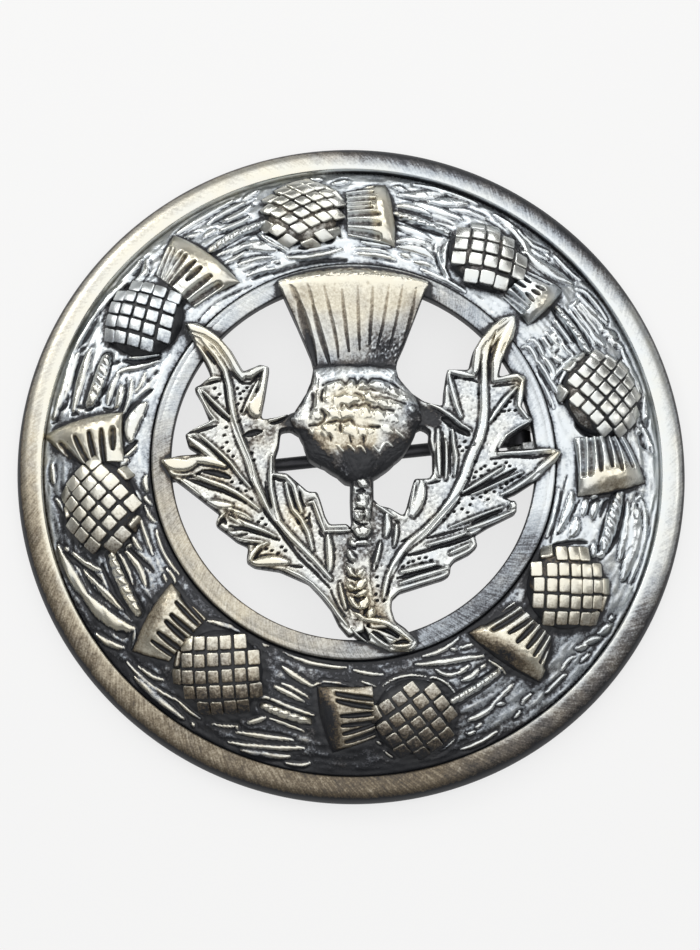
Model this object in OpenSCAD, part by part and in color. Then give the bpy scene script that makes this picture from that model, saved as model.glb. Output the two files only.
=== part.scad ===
// Round plaid brooch: a domed cast ring with eight raised thistles round an openwork thistle, and a hinged
// pin behind. It lies on its back, face up: the rim rests on the plane z = 0 and the crown points along +Y.

/* [Ring] */
// Outer diameter of the ring
ring_d = 76; // [70:1:82]
// Diameter of the round opening
opening_d = 40.8; // [40:0.2:42]
// Width of the rounded rim, from the groove inside it to the edge
rim_w = 2.9; // [2.6:0.1:3.2]
// Height of the rim above the resting plane
rim_h = 2.6; // [2.3:0.1:3]
// Width of the smooth lip round the opening
lip_w = 2.5; // [2:0.1:2.8]
// Height of the lip above the resting plane
lip_h = 6; // [5.8:0.1:6.4]
// Thickness of the lip at the opening
lip_t = 1.7; // [1.5:0.1:2]

/* [Ring thistles] */
// Length of a thistle's round bulb, along the ring
bulb_l = 9.2; // [8:0.1:10]
// Width of a thistle's round bulb, across the ring
bulb_w = 8; // [7:0.1:8.6]
// Height of a bulb above the ground it stands on
bulb_h = 2.3; // [1.6:0.1:2.8]
// Length of the fluted crown in front of a bulb
crown_l = 5.2; // [4.5:0.1:5.6]
// Width of the crown at its open end
crown_w = 8; // [7:0.1:8.4]
// Height of the crown above the ground
crown_h = 1.7; // [1.2:0.1:2.2]

/* [Centre thistle] */
// Highest point of the brooch, on the centre bulb
top_h = 9; // [8.6:0.1:10]
// Width of the centre bulb
centre_bulb_w = 14.4; // [13.6:0.1:15]
// Height of the centre bulb, along the stem
centre_bulb_l = 11.4; // [11:0.1:12]
// Width of the centre crown at its open end
centre_crown_w = 17.2; // [16:0.1:18]
// Width of the neck under the centre crown
neck_w = 9.4; // [8.6:0.1:10]
// Thickness of the leaf plates
leaf_t = 2; // [1.8:0.1:2.2]

/* [Pin] */
// Diameter of the pin stem
pin_d = 1.5; // [1.3:0.1:1.6]
// Diameter of the hinge rivet
rivet_d = 1; // [0.9:0.05:1.1]
// Height of the pin's centre line above the resting plane
pin_h = 1.9; // [1.8:0.05:2]
// Slope of the pin across the face, in degrees
pin_turn = 6.5; // [4:0.5:9]
// Angle by which the pin is shown open, in degrees
pin_open = 0; // [0:5:80]

/* [Hidden] */
$fn = 48;
// The tables below are drawn for a ring 76 across, and follow the ring's size
u = ring_d / 76;
ring_r = ring_d / 2;
opening_r = opening_d / 2;
groove_r = ring_r - rim_w;
lip_r = opening_r + lip_w;
back_h = lip_h - lip_t;

// Rim bead
bead_r = 1.8;
bead_z = rim_h - bead_r;

// Carved ground between the groove and the lip, a quarter wave from low to high
ground_low = 1.5;
ground_high = 5.3;
function ground_t(r) = (groove_r - r) / (groove_r - lip_r);
function ground(r) = ground_low + (ground_high - ground_low) * sin(90 * max(0, min(1, ground_t(r))));
function ground_tilt(r) = atan(
    (ground_high - ground_low) * PI / 2 / (groove_r - lip_r) * cos(90 * max(0, min(1, ground_t(r))))
);
ring_steps = 64;
bead_steps = 4;
ground_steps = 4;
lip_edge = 0.3;
// Hollow back of the ring, from the rim inwards
BACK = [
    // radius, height
    [34.2, 0.7],
    [29, 2.5]
];

// Ring thistles, clockwise from the top: angle and radius of the bulb, turn of its net of studs
THISTLES = [
    [100.5, 30.0, 20],
    [57.5, 28.7, 22],
    [15.5, 29.5, 32],
    [-32, 28.2, 32],
    [-77.5, 29.7, 25],
    [-122, 27.9, 35],
    [-168.5, 29.0, 33],
    [-214, 28.5, 22]
];
thistle_nod = 8;
bulb_tiles = 5;
crown_ridges = 6;
crown_round = 0.42;
stud_h = 0.45;
crown_start = 0.44;
RING_CROWN = [
    // share of the length, share of the width to one side, share of the height, flute depth
    [0, 0.33, 0.72, 0.2],
    [0.36, 0.38, 0.86, 0.3],
    [0.84, 0.49, 1, 0.25],
    [0.93, 0.5, 1, 0],
    [1.07, 0.5, 0.2, 0]
];
sink = 0.5;

// Carved leaves round one thistle: place ahead of the bulb and out from its middle, length, width, turn
LEAVES = [
    // ahead, out, length, width, turn
    [-6.8, 2.4, 6.0, 1.7, 12],
    [-7.2, 3.8, 6.4, 1.3, 5],
    [-6.8, -2.3, 5.6, 1.6, -14],
    [-7.6, -3.7, 6.6, 1.2, -6],
    [-9.2, 1.3, 4.0, 1.1, 4],
    [-9.4, -1.2, 4.0, 1.1, -6],
    [3.4, 4.6, 7.6, 1.2, -14],
    [4.2, -4.9, 7.4, 1.1, 8],
    [-1.5, -5.2, 7.2, 0.9, -4]
];
leaf_ridge_h = 0.75;
stem_start = 0.4;
stem_ribs = 4;
stem_pitch = 0.62;
stem_wide = [0.85, 0.9];
stem_narrow = [0.65, 0.6];

// Centre thistle
plate_low = back_h + 0.2;
plate_z = plate_low + leaf_t;
bulb_at = [0.35, 3];
crown_from = 8.2;
neck_y = 10.3;
crown_to = 20.8;
crown_top_z = 8.3;
CENTRE_CROWN = [
    // along y, half width, top height, flute depth, bow of the edge
    [crown_from, neck_w * 0.53, 7.1, 0, 0],
    [9.6, neck_w * 0.5, 6.9, 0, 0],
    [neck_y, neck_w * 0.49, 6.8, 0.1, 0],
    [11.2, neck_w * 0.53, 7.0, 0.4, 0.2],
    [15.2, centre_crown_w * 0.375, 7.7, 0.4, 0.4],
    [19.4, centre_crown_w * 0.485, crown_top_z, 0.3, 0.7],
    [20.2, centre_crown_w * 0.5, crown_top_z, 0, 0.8],
    [crown_to, centre_crown_w * 0.5, 8.0, 0, 0.9],
    [21.2, centre_crown_w * 0.49, 6.5, 0, 1.1]
];
centre_ridges = 10;
centre_bulb_tiles = 7;

// Leaves of the centre. A lobe's row holds its tip, the notch that follows it and where its vein leaves the
// midrib, as a share of the way from the base to the leaf's point. Bases and webs are rows of x, y.
LEFT_RIB = [
    // x, y
    [1.0, -19.0],
    [-2.4, -15.0],
    [-5.8, -11.0],
    [-10.2, -5.2],
    [-13.0, 2.6],
    [-14.3, 8.8],
    [-19.2, 15.2]
];
LEFT_OUTER = [
    // tip x, tip y, notch x, notch y, vein share
    [-19.2, 15.4, -16.1, 9.2, 0.9],
    [-18.1, 7.9, -16.1, 4.1, 0.62],
    [-18.9, 2.6, -17.0, 0.3, 0.5],
    [-21.8, -0.6, -15.0, -6.2, 0.42],
    [-15.4, -7.8, -11.7, -10.1, 0.3],
    [-11.9, -12.2, -5.0, -14.3, 0.2]
];
LEFT_INNER = [
    [-4.1, -3.8, -5.4, -3.7, 0.2],
    [-8.3, -1.8, -8.4, 2.6, 0.36],
    [-9.6, 10.6, -12.4, 9.9, 0.66]
];
LEFT_BASE = [[-2.5, -17.1], [-0.6, -20.0], [1.4, -19.6], [1.0, -12], [-0.8, -7.6], [-2.8, -7.6]];
LEFT_WEB = [[-7.2, 3.2], [-5.2, 2.2], [-5.2, 6.4], [-7.4, 4.9], [-10.3, 4.5]];
RIGHT_RIB = [
    // x, y
    [3.2, -16.4],
    [4.4, -12.7],
    [7.9, -8.4],
    [11.7, -3.3],
    [14.2, 2.4],
    [14.8, 9.0],
    [18.1, 16.3]
];
RIGHT_OUTER = [
    [18.3, 16.6, 16.3, 9.4, 0.9],
    [19.3, 9.6, 18.8, 5.9, 0.66],
    [20.1, 4.5, 15.9, 1.0, 0.56],
    [23.5, 1.0, 16.8, -4.5, 0.45],
    [18.2, -5.4, 13.4, -8.7, 0.34],
    [13.4, -10.4, 11.2, -11.6, 0.22],
    [10.5, -13.2, 4.4, -15.6, 0.12]
];
RIGHT_INNER = [
    [6.8, -2.4, 8.6, -2.2, 0.3],
    [8.9, 0.6, 8.3, 3.0, 0.45],
    [10.4, 10.3, 12.9, 10.3, 0.7]
];
RIGHT_BASE = [[4.1, -17.2], [5.5, -19.2], [1.6, -19.4], [0.6, -12], [2.0, -4.6], [3.0, -5.5], [5.3, -6.4]];
RIGHT_WEB = [[7.5, 3.5], [5.4, 2.6], [5.4, 7.8], [7.8, 6.5], [10.0, 6.0]];
// Outline of the foot: x, y
FOOT = [
    [-0.6, -19.4], [0.6, -17.6], [3.6, -17.4], [5.6, -19.1],
    [7.0, -20.4], [6.2, -21.7], [4.0, -21.8], [1.4, -20.6]
];
// Raised upper and lower edges of the foot: x, y
FOOT_UPPER = [[0.6, -18.0], [3.6, -18.2], [6.8, -20.8]];
FOOT_LOWER = [[0.0, -19.2], [2.6, -20.9], [6.6, -21.3]];
rib_h = 0.75;
rib_w = 0.9;
vein_w = 0.6;

// Stem of the centre: along y, half width, height over the leaf plates, middle x
STEM = [
    [-1.6, 1.15, 0.2, 0.8],
    [-3.6, 1.05, 0.5, 0.9],
    [-5.6, 1.25, 0.1, 0.9],
    [-6.6, 1.2, 0.6, 0.8],
    [-8.4, 1.25, 0.2, 0.7],
    [-9.8, 1.2, 0.7, 0.6]
];
scale_pitch = 1.4;
scale_count = 7;
scale_from = [0.45, -9.9];
scale_drift = 0.08;
scale_turn = -84;
scale_size = [2.4, 2.3, 0.8];

// Pin, its bracket and its catch, measured along the pin line from the ring's middle
pin_y = 0.94;
eye_at = 19;
eye_r = 1.45;
eye_w = 1.6;
side_gap = 0.12;
cheek_t = 1;
cheek_r = 1.45;
cheek_end = 23.8;
block_from = 21.2;
bracket_top = back_h + 0.5;
rivet_fit = 0.02;
rivet_gap = 0.04;
rivet_head = 0.3;
pin_tip = -27;
pin_point_l = 6;
pin_point_r = 0.15;
catch_at = -24.4;
catch_l = 2.4;
catch_w = 3.6;
catch_low = 0.7;
catch_top = back_h;
catch_gap = 0.15;

// Solid through a row of rings of points, each clockwise as seen from the last one, with flat ends
module loft(rings) {
    n = len(rings[0]);
    last = len(rings) - 1;
    polyhedron(
        points = [for (ring = rings) each ring],
        faces = concat(
            [[for (i = [n - 1:-1:0]) i]],
            [for (k = [0:last - 1], i = [0:n - 1])
                let (j = (i + 1) % n)
                [k * n + i, k * n + j, (k + 1) * n + j, (k + 1) * n + i]],
            [[for (i = [0:n - 1]) last * n + i]]
        ),
        convexity = 6
    );
}

// Point of a square net bent into a disc of radius 1
function disc(s, t) = [s * sqrt(1 - t * t / 2), t * sqrt(1 - s * s / 2)];
function turned(p, a) = [p.x * cos(a) - p.y * sin(a), p.x * sin(a) + p.y * cos(a)];
// Point i, j of a domed pad with a stud in each mesh of its net
function pad_point(i, j, n, size, turn, stud) =
    let (p = turned(disc(2 * i / n - 1, 2 * j / n - 1), turn))
    let (edge = i == 0 || j == 0 || i == n || j == n)
    let (raised = i % 2 == 1 && j % 2 == 1 ? stud : 0)
    [p.x * size.x / 2, p.y * size.y / 2, edge ? 0 : size.z * sqrt(1 - p * p) + raised];

// Domed oval pad, flat below at z = 0, covered with pointed studs in rows
module studded_pad(size, tiles, turn, stud) {
    n = 2 * tiles;
    side = [for (i = [0:n]) i];
    rim = concat(
        [for (i = [0:n - 1]) i * (n + 1)],
        [for (j = [0:n - 1]) n * (n + 1) + j],
        [for (i = [n:-1:1]) i * (n + 1) + n],
        [for (j = [n:-1:1]) j]
    );
    polyhedron(
        points = [for (i = side, j = side) pad_point(i, j, n, size, turn, stud)],
        faces = concat(
            [for (i = [0:n - 1], j = [0:n - 1])
                let (a = i * (n + 1) + j)
                let (b = a + n + 1)
                [a, a + 1, b + 1, b]],
            [rim]
        ),
        convexity = 6
    );
}

// One cross-section of a fluted crown that opens along +X, from its low corner over the ridges
function crown_ring(x, half, top, groove, bow, ridges, low) = concat(
    [for (k = [0:2 * ridges])
        let (t = k / ridges - 1)
        let (round_top = low + (top - low) * (1 - crown_round * t * t))
        [x + bow * (1 - t * t), half * t, round_top - (k % 2 == 0 ? groove : 0)]],
    [[x, half, low], [x, -half, low]]
);

// Carved leaf along X: a low ridge, pointed at both ends
module blade(length, width, height) {
    l = length / 2;
    w = width / 2;
    polyhedron(
        points = [
            [-l, 0, -sink], [-l * 0.2, w, -sink], [l, 0, -sink], [-l * 0.2, -w, -sink],
            [-l * 0.4, 0, height], [l * 0.5, 0, height * 0.7]
        ],
        faces = [[0, 1, 4], [1, 5, 4], [1, 2, 5], [2, 3, 5], [3, 4, 5], [3, 0, 4], [0, 3, 2, 1]],
        convexity = 2
    );
}

// Places a piece on the carved ground: X runs clockwise along the ring, Y outwards, Z off the surface
module on_ground(angle, radius) {
    rotate([0, 0, angle - 90])
        translate([0, radius, ground(radius)])
            rotate([-ground_tilt(radius), 0, 0])
                children();
}

// Ring: rim bead, groove, carved ground, lip and hollow back, turned round its axis
module ring() {
    bead_foot = asin(bead_z / bead_r);
    rotate_extrude($fn = ring_steps)
        polygon(concat(
            [[groove_r + 0.2, 0]],
            [for (k = [0:bead_steps])
                let (a = -bead_foot + (90 + bead_foot) * k / bead_steps)
                [ring_r - bead_r + bead_r * cos(a), bead_z + bead_r * sin(a)]],
            [[groove_r, rim_h]],
            [for (k = [0:ground_steps])
                let (r = groove_r + (lip_r - groove_r) * k / ground_steps)
                [r, ground(r)]],
            [[lip_r, lip_h - lip_edge], [lip_r - lip_edge, lip_h]],
            [[opening_r + lip_edge, lip_h], [opening_r, lip_h - lip_edge]],
            [[opening_r, back_h], [lip_r, back_h - lip_edge]],
            [for (k = [len(BACK) - 1:-1:0]) BACK[k]]
        ));
}

// Short ribbed stem behind a ring thistle, along -X
module ring_stem() {
    loft([for (k = [0:2 * stem_ribs])
        let (x = -bulb_l * stem_start - k * stem_pitch)
        let (size = k % 2 == 0 ? stem_wide : stem_narrow)
        let (top = size[0] * 0.7)
        [[x, -size[0], -sink], [x, size[0], -sink], [x, top, size[1]], [x, -top, size[1]]]]);
}

// Raised thistle of the ring, with the carved leaves round it
module ring_thistle(turn) {
    translate([0, 0, -sink])
        studded_pad([bulb_l, bulb_w, bulb_h + sink], bulb_tiles, turn, stud_h);
    rotate([0, 0, -thistle_nod]) {
        start = bulb_l * crown_start;
        length = bulb_l / 2 + crown_l - start;
        loft([for (row = RING_CROWN)
            crown_ring(
                start + length * row[0], crown_w * row[1], crown_h * row[2], row[3], 0, crown_ridges, -sink
            )]);
    }
    ring_stem();
    for (leaf = LEAVES)
        translate([leaf[0], leaf[1], 0])
            rotate([0, 0, leaf[4]])
                blade(leaf[2], leaf[3], leaf_ridge_h);
}

// Place on a polyline, as a share of its length counted in points
function along(path, share) =
    let (at = share * (len(path) - 1))
    let (k = min(floor(at), len(path) - 2))
    path[k] + (path[k + 1] - path[k]) * (at - k);
function heading(path, k) =
    let (d = path[min(k + 1, len(path) - 1)] - path[max(k - 1, 0)])
    d / norm(d);

// Raised rib of triangular section along a path of points
module rib(path, width, height, z) {
    last = len(path) - 1;
    loft([for (k = [0:last])
        let (d = heading(path, k))
        let (w = width / 2 * (1 - 0.75 * k / last))
        let (p = path[k])
        [
            [p.x + d.y * w, p.y - d.x * w, z - 0.3],
            [p.x, p.y, z + height * (1 - 0.4 * k / last)],
            [p.x - d.y * w, p.y + d.x * w, z - 0.3]
        ]]);
}

// Notched leaf of the centre: a plate with a midrib, and a vein in each lobe
module centre_leaf(midrib, outer, inner, base, web) {
    outline = concat(
        [for (lobe = outer) each [[lobe[0], lobe[1]], [lobe[2], lobe[3]]]],
        base,
        [for (k = [0:len(inner) - 1])
            each k == len(inner) - 1
                ? concat(web, [[inner[k][0], inner[k][1]], [inner[k][2], inner[k][3]]])
                : [[inner[k][0], inner[k][1]], [inner[k][2], inner[k][3]]]]
    );
    translate([0, 0, plate_low])
        linear_extrude(leaf_t)
            polygon(outline);
    rib(midrib, rib_w, rib_h, plate_z);
    for (lobe = concat(outer, inner)) {
        start = along(midrib, lobe[4]);
        tip = [lobe[0], lobe[1]];
        rib([start, start + (tip - start) * 0.5, start + (tip - start) * 0.92], vein_w, rib_h * 0.6, plate_z);
    }
}

module left_leaf() {
    centre_leaf(LEFT_RIB, LEFT_OUTER, LEFT_INNER, LEFT_BASE, LEFT_WEB);
}

module right_leaf() {
    centre_leaf(RIGHT_RIB, RIGHT_OUTER, RIGHT_INNER, RIGHT_BASE, RIGHT_WEB);
}

// Bulb, crown and stem of the centre thistle
module centre_flower() {
    translate([bulb_at.x, bulb_at.y, plate_low])
        studded_pad([centre_bulb_w, centre_bulb_l, top_h - plate_low], centre_bulb_tiles, 0, stud_h);
    rotate([0, 0, 90])
        loft([for (row = CENTRE_CROWN)
            crown_ring(row[0], row[1], row[2], row[3], row[4], centre_ridges, plate_low)]);
    loft([for (row = STEM)
        [
            [row[3] - row[1], row[0], plate_low],
            [row[3] - row[1] * 0.8, row[0], plate_z + row[2] * 0.5],
            [row[3], row[0], plate_z + row[2]],
            [row[3] + row[1] * 0.8, row[0], plate_z + row[2] * 0.5],
            [row[3] + row[1], row[0], plate_low]
        ]]);
    for (k = [0:scale_count - 1])
        translate([scale_from.x + scale_drift * k, scale_from.y - scale_pitch * k, plate_z])
            rotate([0, 0, scale_turn])
                blade(scale_size.x, scale_size.y, scale_size.z);
}

// Hollow pointed foot under the stem
module foot() {
    translate([0, 0, plate_low])
        linear_extrude(leaf_t)
            polygon(FOOT);
    rib(FOOT_UPPER, rib_w, rib_h, plate_z);
    rib(FOOT_LOWER, rib_w, rib_h * 0.8, plate_z);
}

// Front: the ring and all that is raised on it and in its opening, brought to its full height
module front() {
    resize([0, 0, top_h])
        union() {
            ring();
            scale([u, u, 1]) {
                for (t = THISTLES)
                    on_ground(t[0], t[1])
                        ring_thistle(t[2]);
                left_leaf();
                right_leaf();
                foot();
                centre_flower();
            }
        }
}

// Frame of the pin: X runs along the pin from the ring's middle towards the hinge
module on_pin_line() {
    translate([0, pin_y, 0])
        rotate([0, 0, pin_turn])
            children();
}

// Cylinder along the rivet's axis, centred on it
module across(d, w) {
    translate([eye_at, 0, pin_h])
        rotate([90, 0, 0])
            cylinder(d = d, h = w, center = true);
}

// Bracket of two cheeks that carries the rivet
module hinge_bracket() {
    half = eye_w / 2 + side_gap;
    on_pin_line()
        difference() {
            union() {
                across(2 * cheek_r, 2 * (half + cheek_t));
                translate([eye_at, -half - cheek_t, pin_h - cheek_r])
                    cube([cheek_end - eye_at, 2 * (half + cheek_t), bracket_top - pin_h + cheek_r]);
            }
            translate([eye_at - 2 * cheek_r, -half, 0])
                cube([block_from - eye_at + 2 * cheek_r, 2 * half, 2 * back_h]);
            across(rivet_d + 2 * rivet_fit, 4 * (half + cheek_t));
        }
}

// Forked catch that the pin's point rests in
module catch() {
    on_pin_line()
        difference() {
            translate([catch_at - catch_l / 2, -catch_w / 2, catch_low])
                cube([catch_l, catch_w, catch_top - catch_low]);
            translate([catch_at - catch_l, 0, pin_h])
                rotate([0, 90, 0])
                    cylinder(d = pin_d + 2 * catch_gap, h = 2 * catch_l);
            translate([catch_at - catch_l, -pin_d / 2 - catch_gap, catch_low - 1])
                cube([2 * catch_l, pin_d + 2 * catch_gap, pin_h - catch_low + 1]);
        }
}

// Front of the brooch with what is soldered to its back
module brooch_casting() {
    color("darkkhaki")
        union() {
            front();
            hinge_bracket();
            catch();
        }
}

// Rivet through the bracket's cheeks
module hinge_rivet() {
    half = eye_w / 2 + side_gap + cheek_t;
    color("dimgray")
        on_pin_line()
            across(rivet_d, 2 * half + 2 * rivet_head);
}

// Straight pin with its eye
module pin_stem() {
    color("gray")
        on_pin_line()
            translate([eye_at, 0, pin_h])
                rotate([0, -pin_open, 0])
                    translate([-eye_at, 0, -pin_h])
                        difference() {
                            union() {
                                across(2 * eye_r, eye_w);
                                translate([pin_tip + pin_point_l, 0, pin_h])
                                    rotate([0, 90, 0])
                                        cylinder(d = pin_d, h = eye_at - pin_tip - pin_point_l);
                                translate([pin_tip, 0, pin_h])
                                    rotate([0, 90, 0])
                                        cylinder(r1 = pin_point_r, d2 = pin_d, h = pin_point_l);
                            }
                            across(rivet_d + 2 * rivet_gap, 3 * eye_w);
                        }
}

brooch_casting();
hinge_rivet();
pin_stem();
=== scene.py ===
import math

import bmesh
import bpy
import numpy as np
from mathutils import Matrix, Vector


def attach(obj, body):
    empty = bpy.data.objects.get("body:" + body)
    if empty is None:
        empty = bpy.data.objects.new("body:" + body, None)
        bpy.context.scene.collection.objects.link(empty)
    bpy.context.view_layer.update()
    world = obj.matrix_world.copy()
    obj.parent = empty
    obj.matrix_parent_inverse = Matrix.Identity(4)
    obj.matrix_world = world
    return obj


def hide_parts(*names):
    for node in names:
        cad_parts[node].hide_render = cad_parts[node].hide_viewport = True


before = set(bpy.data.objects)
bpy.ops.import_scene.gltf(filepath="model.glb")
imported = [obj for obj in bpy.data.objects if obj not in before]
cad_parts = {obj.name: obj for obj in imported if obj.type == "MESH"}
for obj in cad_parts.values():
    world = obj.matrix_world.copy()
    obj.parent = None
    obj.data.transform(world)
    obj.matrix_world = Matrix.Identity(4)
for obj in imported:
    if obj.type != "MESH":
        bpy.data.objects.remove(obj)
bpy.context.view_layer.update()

# Lengths are in millimetres until a mesh is made. The ring's middle is the origin, +Y is the crown's side.
MM = 0.001
RING_R = 38.0
OPENING_R = 20.4
GROOVE_R = 35.1
LIP_R = 22.9
RIM_H = 2.6
BEAD_R = 1.8
BACK_H = 4.3
PLATE_LOW = 4.5
PLATE_TOP = 6.5
GROUND_LOW = 1.5
GROUND_HIGH = 5.3
# Undersides of the centre's pieces, a hair apart so that no two share a plane
CENTRE_PIECES = ("left_leaf", "right_leaf", "foot", "centre_stem", "centre_dome", "centre_crown")
UNDERSIDE = {name: PLATE_LOW + 0.03 * k for k, name in enumerate(CENTRE_PIECES)}
# Seeds of the grain of each piece; the ring thistles count on from theirs
SEED = {
    "carved_band": 5, "bulb_domes": 30, "ring_crowns": 40, "bulb_studs": 3, "left_leaf": 51,
    "right_leaf": 52, "foot": 61, "centre_crown": 71, "centre_dome": 81, "centre_stem": 91,
}


def ramp(value, start, run):
    """How far a value is past start, as a share of run, from 0 to 1; a run below 0 counts downwards."""
    return np.clip((value - start) / run, 0, 1)


def ground(r):
    """Height of the carved band at radius r, before its carving."""
    share = ramp(r, GROOVE_R, LIP_R - GROOVE_R)
    return GROUND_LOW + (GROUND_HIGH - GROUND_LOW) * np.sin(share * math.pi / 2)


def polar(angle, r):
    """x, y of a place given by its angle in degrees and its radius."""
    a = np.radians(angle)
    return np.cos(a) * r, np.sin(a) * r


def put(name, data):
    """New object in the scene."""
    thing = bpy.data.objects.new(name, data)
    bpy.context.scene.collection.objects.link(thing)
    return thing


# Camera, at the photograph's place
VIEW_DISTANCE = 250.0
VIEW_TILT = math.radians(12.0)
VIEW_TURN = math.radians(-8.7)
VIEW_FOCUS = 0.8
IMAGE_HEIGHT = 950
IMAGE_MIDDLE = (350.0, 475.0)
VIEW_MIDDLE = (352.6, 467.4)
PIXELS_PER_MM = 8.776
SENSOR = 36.0


def make_camera():
    back = Vector((
        math.sin(VIEW_TURN) * math.sin(VIEW_TILT),
        -math.cos(VIEW_TURN) * math.sin(VIEW_TILT),
        math.cos(VIEW_TILT),
    ))
    data = bpy.data.cameras.new("camera")
    data.sensor_width = SENSOR
    data.lens = PIXELS_PER_MM * VIEW_DISTANCE / IMAGE_HEIGHT * SENSOR
    data.shift_x = (IMAGE_MIDDLE[0] - VIEW_MIDDLE[0]) / IMAGE_HEIGHT
    data.shift_y = (VIEW_MIDDLE[1] - IMAGE_MIDDLE[1]) / IMAGE_HEIGHT
    data.clip_start = 0.01
    camera = put("camera", data)
    across = Vector((0, 1, 0)).cross(back).normalized()
    axes = Matrix((across, back.cross(across), back)).transposed().to_4x4()
    place = back * VIEW_DISTANCE + Vector((0, 0, VIEW_FOCUS))
    camera.matrix_world = Matrix.Translation(place * MM) @ axes
    bpy.context.scene.camera = camera


# Meshes are made from an array of points and lists of faces of equal length
def net_of(first, second):
    """Two lines of values as the rows and columns of a net."""
    return np.meshgrid(first, second, indexing="ij")


def grid_faces(rows, columns, wrap_rows=False, wrap_columns=False):
    """Quads between the points of a net whose point i, j has the number i * columns + j."""
    i = np.arange(rows if wrap_rows else rows - 1)
    j = np.arange(columns if wrap_columns else columns - 1)
    i, j = [a.ravel() for a in net_of(i, j)]
    row = i * columns
    next_row = (i + 1) % rows * columns
    j_next = (j + 1) % columns
    return np.stack([row + j, next_row + j, next_row + j_next, row + j_next], 1)


class Shape:
    """Points and faces of a piece while it is made, before it becomes an object."""

    def __init__(self, points, faces):
        self.points = np.asarray(points, float).reshape(-1, 3)
        self.faces = [np.asarray(f, int).reshape(-1, np.asarray(f).shape[-1]) for f in faces]


def joined(shapes):
    points = np.concatenate([s.points for s in shapes])
    faces = []
    start = 0
    for s in shapes:
        faces.extend(f + start for f in s.faces)
        start += len(s.points)
    return Shape(points, faces)


def object_of(name, shape):
    """Object of a shape, smooth, with its faces outwards; an underside that is still open is filled."""
    mesh = bpy.data.meshes.new(name)
    mesh.vertices.add(len(shape.points))
    mesh.vertices.foreach_set("co", (shape.points * MM).ravel())
    loops = np.concatenate([f.ravel() for f in shape.faces])
    sizes = np.concatenate([np.full(len(f), f.shape[1]) for f in shape.faces])
    mesh.loops.add(len(loops))
    mesh.loops.foreach_set("vertex_index", loops)
    mesh.polygons.add(len(sizes))
    mesh.polygons.foreach_set("loop_start", np.concatenate([[0], np.cumsum(sizes)[:-1]]))
    mesh.update(calc_edges=True)
    work = bmesh.new()
    work.from_mesh(mesh)
    border = [edge for edge in work.edges if edge.is_boundary]
    if border:
        bmesh.ops.triangle_fill(work, edges=border, use_beauty=True)
    bmesh.ops.recalc_face_normals(work, faces=work.faces)
    work.to_mesh(mesh)
    work.free()
    mesh.polygons.foreach_set("use_smooth", np.ones(len(mesh.polygons), bool))
    return put(name, mesh)


def lofted(rings):
    """Closed solid through rows of rings, each with the same number of points, and flat ends."""
    rings = np.asarray(rings, float)
    rows, columns = rings.shape[:2]
    ends = np.stack([np.arange(columns)[::-1], (rows - 1) * columns + np.arange(columns)])
    return Shape(rings, [grid_faces(rows, columns, wrap_columns=True), ends])


def with_underside(top, low):
    """Sections of a solid: the rows of its top, each closed by two points at the height low."""
    under = top[:, [-1, 0]].copy()
    under[:, :, 2] = low
    return np.concatenate([top, under], 1)


def revolved(profile, steps):
    """Closed solid of a closed outline of radius and height, turned round the ring's axis."""
    r, z = np.asarray(profile, float).T
    a = np.arange(steps) * 360.0 / steps
    x, y = polar(a[:, None], r[None, :])
    points = np.stack([x, y, np.broadcast_to(z, x.shape)], 2)
    return Shape(points, [grid_faces(steps, len(r), True, True)])


# Strokes: curves through three places, drawn into a net of heights
STROKE_POINTS = 14
# Fine groove beside a raised stroke, and the ridge that fills it
MOAT_AT = 0.1
MOAT_WIDTH = 0.14
MOAT_FILLED = 0.12
# Notches across the carved stems
TICK_PITCH = 1.1
TICK_LEAN = 0.5
# Height that is left at a stroke's thin ends
END_HEIGHT = 0.55
# Measures of strokes: first amount, and growth with the half width
RIDGE_HALF = (0.0, 1.25)
RIDGE_RISE = (0.2, 0.42)
RIDGE_MOAT = 0.12
CUT_HALF = (0.04, 1.1)
CUT_DEPTH = (0.18, 0.6)
FLUTE_HALF = (0.14, 1.1)
FLUTE_DEPTH = (0.42, 0.7)
LINE_HALF = (0.02, 1.15)
LINE_DEPTH = (0.22, 0.9)
SEAM_HALF = (0.35, 1.0)
# Carved stems of the band
STEM_STROKE = {"height": 0.75, "moat": 0.3, "pointed": 0.3, "ticks": 0.55}


def stroke_line(row):
    """Points on the curve through the three places of a row."""
    start, middle, end = np.array([row[0:2], row[2:4], row[4:6]], float)
    bend = 2 * middle - (start + end) / 2
    t = np.linspace(0, 1, STROKE_POINTS)[:, None]
    return (1 - t) ** 2 * start + 2 * t * (1 - t) * bend + t ** 2 * end


def distance_to(line, x, y):
    """Distance from points to a line of segments, share of its length there, side of it, and its length."""
    best = np.full(x.shape, 1e9)
    share = np.zeros(x.shape)
    side = np.zeros(x.shape)
    lengths = np.hypot(*np.diff(line, axis=0).T)
    total = max(lengths.sum(), 1e-6)
    done = 0.0
    for (x0, y0), (x1, y1), length in zip(line[:-1], line[1:], lengths):
        if length < 1e-9:
            continue
        dx, dy = (x1 - x0) / length, (y1 - y0) / length
        along = np.clip((x - x0) * dx + (y - y0) * dy, 0, length)
        off_x = x - x0 - along * dx
        off_y = y - y0 - along * dy
        gap = np.hypot(off_x, off_y)
        near = gap < best
        best = np.where(near, gap, best)
        share = np.where(near, (done + along) / total, share)
        side = np.where(near, dx * off_y - dy * off_x, side)
        done += length
    return best, share, side, total


def grown_by(measure, half):
    """Width, height or depth of a stroke of this half width."""
    return measure[0] + measure[1] * half


def narrowed(share, pointed):
    """How wide a stroke is along its length, compared with its middle."""
    return 1 - pointed * np.abs(2 * share - 1) ** 2.5


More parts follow.
